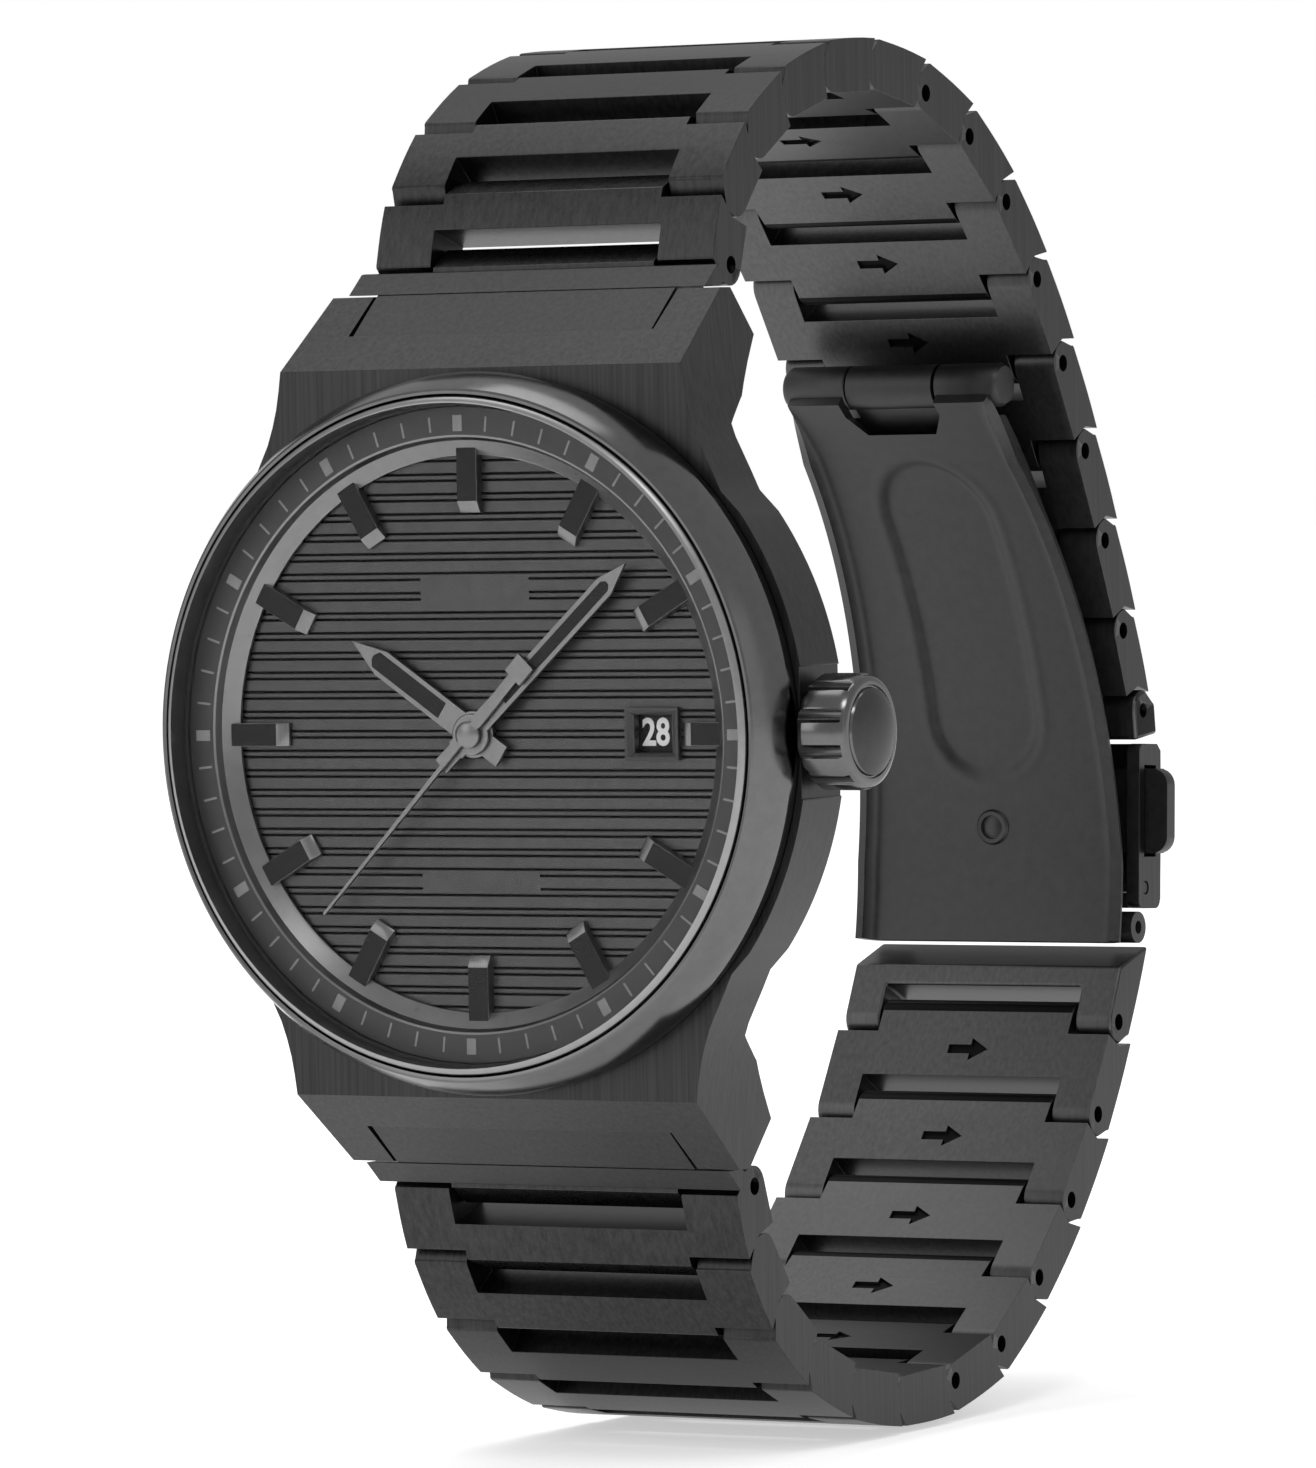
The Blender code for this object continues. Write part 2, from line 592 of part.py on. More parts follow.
def pose_6(pin, heading):
    """Place of a link on the 6 o'clock side."""
    half_turn = Matrix.Rotation(math.pi, 4, "Y")
    return half_turn @ pose_12(pin, heading)


def make_links():
    """All the links of both halves."""
    plans = (("link_12_%02d", LINKS_12, WIDTH_12, PITCH_12, PINS_12, HEADS_12, pose_12),
             ("link_6_%02d", LINKS_6, WIDTH_6, PITCH_6, PINS_6, HEADS_6, pose_6))
    for label, count, widths, pitches, pins, heads, pose in plans:
        for k in range(1, count + 1):
            here, there = (k - 1) / (count - 1), k / (count - 1)
            pitch = math.dist(pins[k - 1], pins[k])
            last = k == count
            next_width = CLASP_W - 0.2 if last and count == LINKS_12 else lerp(widths, there)
            stub = None
            matrix = pose(pins[k - 1], heads[k - 1])
            if last and pose is pose_6:
                stub = closing_cut(matrix)
            make_link(label % k, pitch, lerp(widths, here), next_width, lerp(LEG_W, here),
                      lerp(LEG_W, there), lerp(OUTER, here), matrix, stub)


def closing_cut(matrix):
    """Outline, in the last link's own (y, z), of the space kept free for the clasp's end."""
    low = END_EYE[1] - END_EYE_R - END_GAP
    corners = [(-3.2, -1.25), (0.8, 0), (9, 0), (9, 20), (-9, 20), (-9, -3.1)]
    inverse = matrix.inverted()
    points = [inverse @ (Vector((0, END_EYE[0] + y, low + z)) * MM) for y, z in corners]
    return [(p.y / MM, p.z / MM) for p in points]


def lug_slope(z):
    """Y of the lugs' front slope at a height."""
    return FACE_Y + (LUG_TIP_Y - FACE_Y) * (z - CREASE_Z) / (LUG_Z - CREASE_Z)


def from_pin(*points):
    """Points given as (along, toward the wrist) from the first pin, in (y, z)."""
    return [along(PIN1, HEAD_DIR, s, t) for s, t in points]


def make_end_link(name, width, matrix):
    """End piece between the lugs, with a wider bar beyond their tips and the first tongue."""
    y0, z0 = PIN1
    outer = OUTER[0]
    lower, over = END_Z + FIT, LUG_Z + FIT
    plate = [(lug_slope(lower) + 0.25, lower), (lug_slope(LUG_Z) + 0.3, LUG_Z + 0.05)]
    plate += from_pin((-LIP - 0.25, -outer), (-EYE_R - SLIDE, -0.4), (-EYE_R - SLIDE, EYE_R))
    plate.append((y0 + 0.6, lower))
    body = prism(plate, -CASE_LUG_X + SLIDE, CASE_LUG_X - SLIDE, "X")
    bar = [(lug_slope(LUG_Z) + 0.2, over), *from_pin((-LIP - 0.25, -outer), (-0.9, -1.2)), (LUG_TIP_Y + 1.6, over)]
    bar_half = width / 2 + 0.6
    tongue_half = width / 2 - LEG_W[0] - SLIDE
    tongue = from_pin((-2.4, -outer + 0.2), (0, -outer), (EYE_R, -0.5), *arc_points(0, 0, EYE_R, 0, 90, 3),
                      (-2.4, EYE_R))
    piece = join(body, prism(bar, -bar_half, bar_half, "X"), prism(tongue, -tongue_half, tongue_half, "X"))
    piece = cut(piece, rod(PIN_R + PIN_PLAY, -FAR, FAR, "X", (0, y0, z0), 12))
    name_piece(piece, name, STEEL)
    piece.matrix_world = matrix


# ---------------------------------------------------------------- clasp

def make_connector():
    """Short link: two legs round the last tongue, and a tail pinned inside the cover."""
    outer = OUTER[1]
    length = CONN_L / 2
    profile = [(-LIP, -outer), (-EYE_R, -0.4)] + arc_points(0, 0, EYE_R, 180, 90, 3)
    profile += [(length, EYE_R), (length, -outer)]
    width = CLASP_W - 0.4
    body = prism(to_yz(profile), -width / 2, width / 2, "X")
    inner = width / 2 - LEG_W[1]
    body = cut(body, box((-inner, inner), (-9, 9), (-9, EYE_R + 0.2)))
    tail = box((-inner + 1, inner - 1), (-0.3, 0.5), (EYE_R + 0.1, length + 1.6))
    body = join(body, tail, rod(PIN_R, -inner - 1.4, inner + 1.4, "X", steps=12))
    piece = name_piece(body, "connector_link", STEEL)
    piece.matrix_world = pose_12(CONN, CONN_HEAD)


def make_cover():
    """Clasp cover: an outer plate and two side walls, slotted for the buttons, pinned to the middle blade."""
    wall, rear, outer = CLASP_W / 2, COVER_L, OUTER[1]
    inside = COVER_T - outer
    start = FIT + 0.1 + EYE_R * math.sin(math.radians(COVER_HEAD - CONN_HEAD))
    profile = [(start, -outer - 0.05), (rear * 0.5, -outer - 0.12), (rear - 0.5, -outer - 0.05), (rear, -outer + 0.5),
               (rear, inside - 0.4), (rear - 0.4, inside - 0.05), (start, inside - 0.05)]
    cover = prism(to_yz(profile), -wall, wall, "X")
    hollow = box((-wall + COVER_WALL, wall - COVER_WALL), (-outer + COVER_WALL - 0.1, 9), (-1, rear + 1))
    mid = COVER_L * 0.43
    slot_y, slot_half = -0.95, BUTTON_L / 2 + SLIDE
    slots = [box(side, (slot_y, 0.55), (mid - slot_half, mid + slot_half))
             for side in ((-wall - 1, -wall + 2), (wall - 2, wall + 1))]
    cover = cut(cover, hollow, *slots)
    pin = along((0, 0), 0, COVER_L - COVER_PIN_IN, 0.35)
    cover = join(cover, rod(COVER_PIN_R, -wall + 0.4, wall - 0.4, "X", (0, *pin), 12))
    pieces = [name_piece(cover, "clasp_cover", STEEL)]

    z0, z1 = mid - BUTTON_L / 2, mid + BUTTON_L / 2
    tip, root = wall + BUTTON_OUT, wall - BUTTON_IN
    plate = [(root, z0), (tip - 0.7, z0), (tip - 0.15, z0 + 0.45), (tip, z0 + 1.2),
             (tip, z1 - 1.2), (tip - 0.15, z1 - 0.45), (tip - 0.7, z1), (root, z1)]
    for side, label in ((1, "right"), (-1, "left")):
        button = prism([(side * x, z) for x, z in plate], slot_y + SLIDE, slot_y + SLIDE + BUTTON_T, "Y")
        pieces.append(name_piece(button, "push_button_" + label, STEEL))
    reach_x = root - BUTTON_TRAVEL - SLIDE
    spring = box((-reach_x, reach_x), (-0.45, -0.1), (mid - 0.6, mid + 0.6))
    pieces.append(name_piece(spring, "button_spring", BRIGHT))
    for piece in pieces:
        piece.matrix_world = pose_12(COVER_TOP, COVER_HEAD)


def blade_strip(r_in, r_out, a0, a1, half, count=14):
    """Plate bent round the blades' centre."""
    outline = [polar(r_out, a0 + (a1 - a0) * i / count) for i in range(count + 1)]
    outline += [polar(r_in, a1 + (a0 - a1) * i / count) for i in range(count + 1)]
    return prism(outline, -half, half, "X")


def make_middle_blade():
    """Middle blade: a bent strip from the cover's hinge to the fold hinge, with a knuckle at each."""
    a0 = angle_of(COVER_PIN) - 0.4
    keep = math.degrees((FOLD_R + 0.35) / FOLD_RAD)
    plate = blade_strip(MID_IN, MID_OUT, a0, FOLD_ANG, MID_W)
    shoulder = polar(MID_IN, FOLD_ANG - keep)[1]
    corners = [box(side, (0, 3 * FAR), (shoulder, 3 * FAR)) for side in ((-FAR, -KNUCKLE_W), (KNUCKLE_W, FAR))]
    plate = cut(plate, *corners)
    hub = rod(FOLD_R, -KNUCKLE_W + 0.001, KNUCKLE_W - 0.001, "X", (0, *FOLD_PIN), 20)
    knuckle = rod(COVER_KNUCKLE_R, -MID_W - 0.8, MID_W + 0.8, "X", (0, *COVER_PIN), 16)
    blade = join(plate, hub, knuckle)
    blade = cut(blade, rod(PIN_R + PIN_PLAY, -FAR, FAR, "X", (0, *FOLD_PIN), 12),
                rod(COVER_PIN_R + PIN_PLAY, -FAR, FAR, "X", (0, *COVER_PIN), 12))
    name_piece(blade, "middle_blade", STEEL, (0, *COVER_PIN))


def make_inner_blade():
    """Curved plate with turned-up edges, wider toward its end, with two eyes for the other half."""
    a0, a1 = FOLD_ANG, END_ANG - math.degrees(0.75 / BLADE_ARC)
    bm = bmesh.new()
    bmesh.ops.create_grid(bm, x_segments=3, y_segments=16, size=0.5)
    for vert in bm.verts:
        share = vert.co.y + 0.5
        edge = round((vert.co.x + 0.5) * 3) in (0, 3)
        half = lerp(BLADE_W, share * 1.15) * (1.0 if edge else 0.97)
        radius = BLADE_ARC - BLADE_T / 2 + (BLADE_ROLL if edge else 0)
        y, z = polar(radius, a0 + (a1 - a0) * share)
        vert.co = Vector((half if vert.co.x > 0 else -half, y, z)) * MM
    mesh = bpy.data.meshes.new("blade")
    bm.to_mesh(mesh)
    bm.free()
    plate = solid(mesh)
    thick = plate.modifiers.new("thickness", "SOLIDIFY")
    thick.thickness = BLADE_T * MM
    thick.offset = 1.0
    thick.use_even_offset = True
    plate = bake(plate)

    eyes, half = [], BLADE_W[1]
    web = [polar(BLADE_ARC - 0.1, END_ANG + 1.3), END_EYE, polar(BLADE_ARC - 0.1, END_ANG - 1.0)]
    for side in (-1, 1):
        lo, hi = sorted((side * (half - 2.0), side * (half - 0.1)))
        eyes.append(rod(END_EYE_R, lo, hi, "X", (0, *END_EYE), 16))
        eyes.append(prism(web, lo + 0.05, hi - 0.05, "X"))

    z_cut = polar(BLADE_ARC, FOLD_ANG - math.degrees((FOLD_R + 0.5) / FOLD_RAD))[1]
    wide, narrow = KNUCKLE_W + 0.3, KNUCKLE_W - 0.6
    notch = prism([(-wide, 3 * FAR), (-wide, z_cut), (-narrow, z_cut - 1.1), (narrow, z_cut - 1.1),
                   (wide, z_cut), (wide, 3 * FAR)], 0, 3 * FAR, "Y")
    top = BLADE_W[0]
    hubs = [rod(FOLD_R, *sorted((side * (KNUCKLE_W + RUN), side * top)), "X", (0, *FOLD_PIN), 20)
            for side in (-1, 1)]
    blade = cut(plate, notch)
    blade = join(blade, *hubs, *eyes, rod(PIN_R, -top + 1, top - 1, "X", (0, *FOLD_PIN), 12))
    name_piece(blade, "inner_blade", STEEL, (0, *FOLD_PIN))


make_case()
make_bezel()
make_glass()
make_chapter_ring()
make_dial()
make_movement()
make_case_back()
make_crown()
make_hands()
make_end_link("end_link_12", WIDTH_12[0], Matrix.Identity(4))
make_end_link("end_link_6", WIDTH_6[0], Matrix.Rotation(math.pi, 4, "Y"))
make_links()
make_connector()
make_cover()
make_middle_blade()
make_inner_blade()
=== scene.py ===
"""A black steel wristwatch on a link bracelet, standing in its closed wearing loop."""
import json
import logging
import math
from dataclasses import dataclass, field
from enum import Enum
from typing import Callable, Iterable, Sequence

import bpy
from mathutils import Matrix, Quaternion, Vector

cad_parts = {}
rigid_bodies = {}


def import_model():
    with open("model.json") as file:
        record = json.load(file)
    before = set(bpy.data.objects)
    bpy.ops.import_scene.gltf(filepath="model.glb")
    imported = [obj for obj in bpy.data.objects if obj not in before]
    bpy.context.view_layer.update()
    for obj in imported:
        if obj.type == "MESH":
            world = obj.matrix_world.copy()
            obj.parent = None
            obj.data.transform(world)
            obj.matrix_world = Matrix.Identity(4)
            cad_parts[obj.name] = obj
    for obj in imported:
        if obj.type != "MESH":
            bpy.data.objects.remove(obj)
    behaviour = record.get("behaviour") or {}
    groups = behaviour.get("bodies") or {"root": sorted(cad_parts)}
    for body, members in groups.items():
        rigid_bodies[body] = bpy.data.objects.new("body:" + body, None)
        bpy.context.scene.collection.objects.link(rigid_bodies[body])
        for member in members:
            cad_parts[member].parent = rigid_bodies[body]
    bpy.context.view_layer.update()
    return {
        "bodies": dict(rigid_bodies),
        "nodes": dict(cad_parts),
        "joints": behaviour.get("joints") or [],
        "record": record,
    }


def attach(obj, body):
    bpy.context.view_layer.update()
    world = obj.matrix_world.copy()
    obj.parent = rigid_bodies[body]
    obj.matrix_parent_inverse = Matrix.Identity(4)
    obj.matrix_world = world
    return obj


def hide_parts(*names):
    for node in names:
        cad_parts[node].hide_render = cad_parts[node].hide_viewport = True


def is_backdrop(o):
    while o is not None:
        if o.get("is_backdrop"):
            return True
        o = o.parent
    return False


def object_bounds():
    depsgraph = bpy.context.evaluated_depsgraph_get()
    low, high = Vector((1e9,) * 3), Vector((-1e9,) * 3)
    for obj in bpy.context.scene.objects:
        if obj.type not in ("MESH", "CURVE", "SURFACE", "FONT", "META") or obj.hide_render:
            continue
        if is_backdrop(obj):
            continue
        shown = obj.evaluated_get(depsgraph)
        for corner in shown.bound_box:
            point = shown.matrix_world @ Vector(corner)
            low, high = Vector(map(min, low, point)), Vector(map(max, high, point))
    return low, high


LOG = logging.getLogger("wristwatch")
MM = 0.001
Obj = bpy.types.Object
Material = bpy.types.Material
Tree = bpy.types.NodeTree
Points = Sequence[tuple[float, float]]
Test = Callable[[Vector, Vector], bool]


# ---------------------------------------------------------------- modelling


class Plane(Enum):
    """The plane an outline is drawn in; the third axis is the one it is extruded or spun about."""

    XZ = "Y"
    XY = "Z"
    YZ = "X"

    def point(self, u: float, v: float, w: float) -> Vector:
        """Place (u, v) in the plane and w across it, from millimetres to metres."""
        if self is Plane.XZ:
            return Vector((u, w, v)) * MM
        if self is Plane.XY:
            return Vector((u, v, w)) * MM
        return Vector((w, u, v)) * MM

    def normal(self) -> Vector:
        """The direction across the plane."""
        return self.point(0, 0, 1 / MM)


def bare() -> None:
    """Leave edit mode and deselect everything."""
    if bpy.context.object and bpy.context.object.mode != "OBJECT":
        bpy.ops.object.mode_set(mode="OBJECT")
    bpy.ops.object.select_all(action="DESELECT")


def pick(obj: Obj) -> Obj:
    """Make an object the only selected one, and the active one."""
    bare()
    obj.select_set(True)
    bpy.context.view_layer.objects.active = obj
    return obj


def edit(obj: Obj, mode: str = "VERT") -> None:
    """Open an object in edit mode with everything selected."""
    pick(obj)
    bpy.ops.object.mode_set(mode="EDIT")
    bpy.ops.mesh.select_mode(type=mode)
    bpy.ops.mesh.select_all(action="SELECT")


def tidy_shell() -> None:
    """Merge doubles and point the faces outwards, in edit mode."""
    bpy.ops.mesh.select_all(action="SELECT")
    bpy.ops.mesh.remove_doubles(threshold=0.002 * MM)
    bpy.ops.mesh.normals_make_consistent(inside=False)
    bpy.ops.object.mode_set(mode="OBJECT")


def draw(name: str, outline: Points, plane: Plane, level: float = 0.0) -> Obj:
    """Draw an open chain of edges, point after point, and stay in edit mode.

    Args:
        name: The new object's name.
        outline: Corners in the plane, in millimetres.
        plane: The plane they lie in.
        level: Where that plane stands.

    Returns:
        The new object.
    """
    bare()
    bpy.ops.mesh.primitive_plane_add(size=MM, location=(0, 0, 0))
    obj = bpy.context.object
    obj.name = name
    edit(obj)
    bpy.ops.mesh.merge(type="CENTER")
    here = Vector((0, 0, 0))
    for step, (u, v) in enumerate(outline):
        there = plane.point(u, v, level)
        move = {"value": there - here}
        if step:
            bpy.ops.mesh.extrude_vertices_move(TRANSFORM_OT_translate=move)
        else:
            bpy.ops.transform.translate(**move)
        here = there
    bpy.ops.mesh.select_all(action="SELECT")
    return obj


def slab(name: str, outline: Points, plane: Plane, low: float, high: float) -> Obj:
    """Extrude a closed outline between two levels across its plane."""
    obj = draw(name, outline, plane, low)
    bpy.ops.mesh.edge_face_add()
    across = plane.normal() * (high - low) * MM
    bpy.ops.mesh.extrude_region_move(TRANSFORM_OT_translate={"value": across})
    tidy_shell()
    return obj


def spun(name: str, profile: Points, axis: str = "Y", at: Sequence[float] = (0, 0, 0),
         steps: int = 96) -> Obj:
    """Spin a profile of (radius, height) a full turn about an axis through a point.

    Args:
        name: The new object's name.
        profile: Radii and heights; a closed ring repeats its first point.
        axis: "X" or "Y".
        at: A point of the axis, in millimetres.
        steps: Faces round the turn.

    Returns:
        The turned object.
    """
    centre = Vector(at) * MM
    if axis == "Y":
        chain = [(at[0] + r, at[1] + h) for r, h in profile]
        obj = draw(name, chain, Plane.XY, at[2])
        about = (0, 1, 0)
    else:
        chain = [(at[0] + h, at[1] + r) for r, h in profile]
        obj = draw(name, chain, Plane.XY, at[2])
        about = (1, 0, 0)
    bpy.ops.mesh.spin(steps=steps, angle=math.tau, center=centre, axis=about)
    tidy_shell()
    return obj


def block(name: str, x: Sequence[float], y: Sequence[float], z: Sequence[float]) -> Obj:
    """A cube stretched between corners, to be cut, bevelled or used as a cutter."""
    bare()
    bpy.ops.mesh.primitive_cube_add(size=1, location=(0, 0, 0))
    obj = bpy.context.object
    obj.name = name
    edit(obj)
    sizes = [(hi - lo) * MM for lo, hi in (x, y, z)]
    middle = [(hi + lo) / 2 * MM for lo, hi in (x, y, z)]
    bpy.ops.transform.resize(value=sizes)
    bpy.ops.transform.translate(value=middle)
    bpy.ops.object.mode_set(mode="OBJECT")
    return obj


def rod(name: str, radius: float, low: float, high: float, axis: str = "X",
        at: Sequence[float] = (0, 0, 0), steps: int = 32) -> Obj:
    """A round bar along X or Y, for pins, holes and barrels."""
    bare()
    turn = (0, math.pi / 2, 0) if axis == "X" else (math.pi / 2, 0, 0)
    place = Vector(at)
    place["XYZ".index(axis)] += (low + high) / 2
    bpy.ops.mesh.primitive_cylinder_add(vertices=steps, radius=radius * MM, depth=(high - low) * MM,
                                        location=place * MM, rotation=turn)
    obj = bpy.context.object
    obj.name = name
    bpy.ops.object.transform_apply(location=True, rotation=True, scale=True)
    return obj


def side_rods(name: str, radius: float, half: float, depth: float, out: float, y: float, z: float,
              steps: int = 20) -> list[Obj]:
    """Two rods along X that reach from beyond each side of a piece to a depth inside it.

    Args:
        name: Both rods' name.
        radius: Their radius.
        half: The piece's half width.
        depth: How far they reach inside its sides.
        out: How far they reach beyond its sides.
        y: Their axis.
        z: Their axis.
        steps: Faces round each rod.

    Returns:
        The rod on the crown's side, then the other.
    """
    spans = ((half - depth, half + out), (-half - out, -half + depth))
    return [rod(name, radius, low, high, "X", (0, y, z), steps) for low, high in spans]


def applied(obj: Obj, kind: str, **settings: object) -> Obj:
    """Add a modifier of a kind with its settings, and apply it."""
    pick(obj)
    bpy.ops.object.modifier_add(type=kind)
    modifier = obj.modifiers[-1]
    for key, value in settings.items():
        setattr(modifier, key, value)
    bpy.ops.object.modifier_apply(modifier=modifier.name)
    return obj


def boolean(obj: Obj, others: Iterable[Obj], how: str) -> Obj:
    """Combine an object with others, which are used up."""
    for other in others:
        applied(obj, "BOOLEAN", operation=how, object=other, solver="EXACT")
        bpy.data.objects.remove(other)
    return obj


def cut(obj: Obj, *others: Obj) -> Obj:
    """Take other shapes away from an object."""
    return boolean(obj, others, "DIFFERENCE")


def fuse(obj: Obj, *others: Obj) -> Obj:
    """Join other shapes to an object as one skin."""
    return boolean(obj, others, "UNION")


def gather(name: str, parts: Sequence[Obj]) -> Obj:
    """Join objects into one without changing their shells."""
    bare()
    for part in parts:
        part.select_set(True)
    bpy.context.view_layer.objects.active = parts[0]
    bpy.ops.object.join()
    parts[0].name = name
    return parts[0]


def copied(obj: Obj, matrix: Matrix) -> Obj:
    """A copy with its own mesh, moved by a matrix."""
    pick(obj)
    bpy.ops.object.duplicate(linked=False)
    twin = bpy.context.object
    twin.data.transform(matrix)
    return twin


def ring_of(obj: Obj, count: int, skip: Sequence[int] = ()) -> list[Obj]:
    """Copies of an object at equal steps round the dial's axis; the first is used up."""
    made = []
    for index in range(count):
        if index not in skip:
            made.append(copied(obj, Matrix.Rotation(math.tau * index / count, 4, "Y")))
    bpy.data.objects.remove(obj)
    return made


def softened(obj: Obj, width: float, segments: int = 2, angle: float = 32.0) -> Obj:
    """Round every edge sharper than an angle, and shade the rest smooth."""
    edit(obj)
    bpy.ops.mesh.remove_doubles(threshold=0.002 * MM)
    bpy.ops.mesh.dissolve_limited(angle_limit=math.radians(0.3))
    bpy.ops.object.mode_set(mode="OBJECT")
    applied(obj, "BEVEL", width=width * MM, segments=segments, limit_method="ANGLE",
            angle_limit=math.radians(angle), harden_normals=False, miter_outer="MITER_ARC")
    return smooth(obj)


def smooth(obj: Obj, angle: float = 34.0) -> Obj:
    """Shade smooth up to an angle, and keep large flats flat."""
    pick(obj)
    bpy.ops.object.shade_smooth_by_angle(angle=math.radians(angle))
    return applied(obj, "WEIGHTED_NORMAL", keep_sharp=True, weight=80)


def paint(obj: Obj, main: Material, *others: tuple[Material, Test]) -> Obj:
    """Give an object its material, and others to the faces that pass a test of centre (mm) and normal."""
    obj.data.materials.clear()
    obj.data.materials.append(main)
    for polygon in obj.data.polygons:
        polygon.material_index = 0
    for index, (material, test) in enumerate(others, 1):
        obj.data.materials.append(material)
        for polygon in obj.data.polygons:
            if test(polygon.center / MM, polygon.normal):
                polygon.material_index = index
    return obj


def arc(centre: Sequence[float], radius: float, start: float, end: float,
        count: int) -> list[tuple[float, float]]:
    """Points of an arc in a plane, angles in degrees."""
    turns = [math.radians(start + (end - start) * i / count) for i in range(count + 1)]
    return [(centre[0] + radius * math.cos(a), centre[1] + radius * math.sin(a)) for a in turns]


def blend(pair: Sequence[float], share: float) -> float:
    """The value a share of the way through a pair, held at its ends."""
    share = min(max(share, 0.0), 1.0)
    return pair[0] + (pair[1] - pair[0]) * share


# ---------------------------------------------------------------- finishes


def add(tree: Tree, kind: str, values: dict[str, object] | None = None,
        links: dict[str, bpy.types.NodeSocket] | None = None) -> bpy.types.Node:
    """Place a shader node.

    Args:
        tree: The tree it goes in.
        kind: Its type, without "ShaderNode".
        values: Constants by input name.
        links: Outputs of other nodes by input name.

    Returns:
        The new node.
    """
    node = tree.nodes.new("ShaderNode" + kind)
    for label, value in (values or {}).items():
        node.inputs[label].default_value = value
    for label, source in (links or {}).items():
        tree.links.new(source, node.inputs[label])
    return node


class Groups:
    """Shader node groups that several finishes share."""

    def __init__(self) -> None:
        """Build every group once."""
        self.brushing = self.make_brushing()
        self.handling = self.make_handling()

    @staticmethod
    def shell(name: str, inputs: dict[str, object], outputs: Sequence[str]) -> tuple:
        """An empty group with named inputs and outputs.

        Args:
            name: The group's name.
            inputs: Defaults by input name; None stands for a vector.
            outputs: Names of the value outputs.

        Returns:
            The group, its input node and its output node.
        """
        tree = bpy.data.node_groups.new(name, "ShaderNodeTree")
        for label, default in inputs.items():
            kind = "NodeSocketVector" if default is None else "NodeSocketFloat"
            socket = tree.interface.new_socket(name=label, in_out="INPUT", socket_type=kind)
            if default is not None:
                socket.default_value = default
        for label in outputs:
            tree.interface.new_socket(name=label, in_out="OUTPUT", socket_type="NodeSocketFloat")
        return tree, tree.nodes.new("NodeGroupInput"), tree.nodes.new("NodeGroupOutput")

    def make_brushing(self) -> Tree:
        """Long parallel strokes of two finenesses, with a fine satin grain under them."""
        tree, into, out = self.shell("Brushed strokes", {"Vector": None, "Grain": 0.3}, ("Mask", "Height"))
        strokes = []
        for scale, detail in ((1.0, 4.0), (0.27, 3.0)):
            noise = add(tree, "TexNoise", {"Scale": scale, "Detail": detail},
                        {"Vector": into.outputs["Vector"]})
            strokes.append(noise.outputs["Fac"])
        both = self.mix(tree, strokes[0], strokes[1], 0.62)
        place = add(tree, "TexCoord").outputs["Object"]
        grit = add(tree, "TexNoise", {"Scale": 9000.0, "Detail": 2.0}, {"Vector": place})
        full = self.mix(tree, both, grit.outputs["Fac"], into.outputs["Grain"])
        tree.links.new(full, out.inputs["Height"])
        tree.links.new(both, out.inputs["Mask"])
        return tree

    def make_handling(self) -> Tree:
        """Broad faint clouds, as skin and cloth leave on plated metal."""
        tree, into, out = self.shell("Handling clouds", {"Size": 90.0, "Contrast": 0.5}, ("Mask",))
        place = add(tree, "TexCoord").outputs["Object"]
        cloud = add(tree, "TexNoise", {"Detail": 5.0}, {"Vector": place, "Scale": into.outputs["Size"]})
        centred = self.math(tree, "SUBTRACT", cloud.outputs["Fac"], 0.5)
        scaled = self.math(tree, "MULTIPLY", centred, into.outputs["Contrast"])
        tree.links.new(self.math(tree, "ADD", scaled, 0.5), out.inputs["Mask"])
        return tree

    @staticmethod
    def math(tree: Tree, how: str, first: object, second: object) -> bpy.types.NodeSocket:
        """A Math node on sockets or numbers, and its output."""
        node = tree.nodes.new("ShaderNodeMath")
        node.operation = how
        for socket, value in zip(node.inputs, (first, second)):
            if isinstance(value, (int, float)):
                socket.default_value = value
            else:
                tree.links.new(value, socket)
        return node.outputs[0]

    @staticmethod
    def mix(tree: Tree, first: object, second: object, share: object) -> bpy.types.NodeSocket:
        """A float Mix node on sockets or numbers, and its output."""
        node = tree.nodes.new("ShaderNodeMix")
        for label, value in (("Factor", share), ("A", first), ("B", second)):
            socket = node.inputs[label]
            if isinstance(value, (int, float)):
                socket.default_value = value
            else:
                tree.links.new(value, socket)
        return node.outputs["Result"]


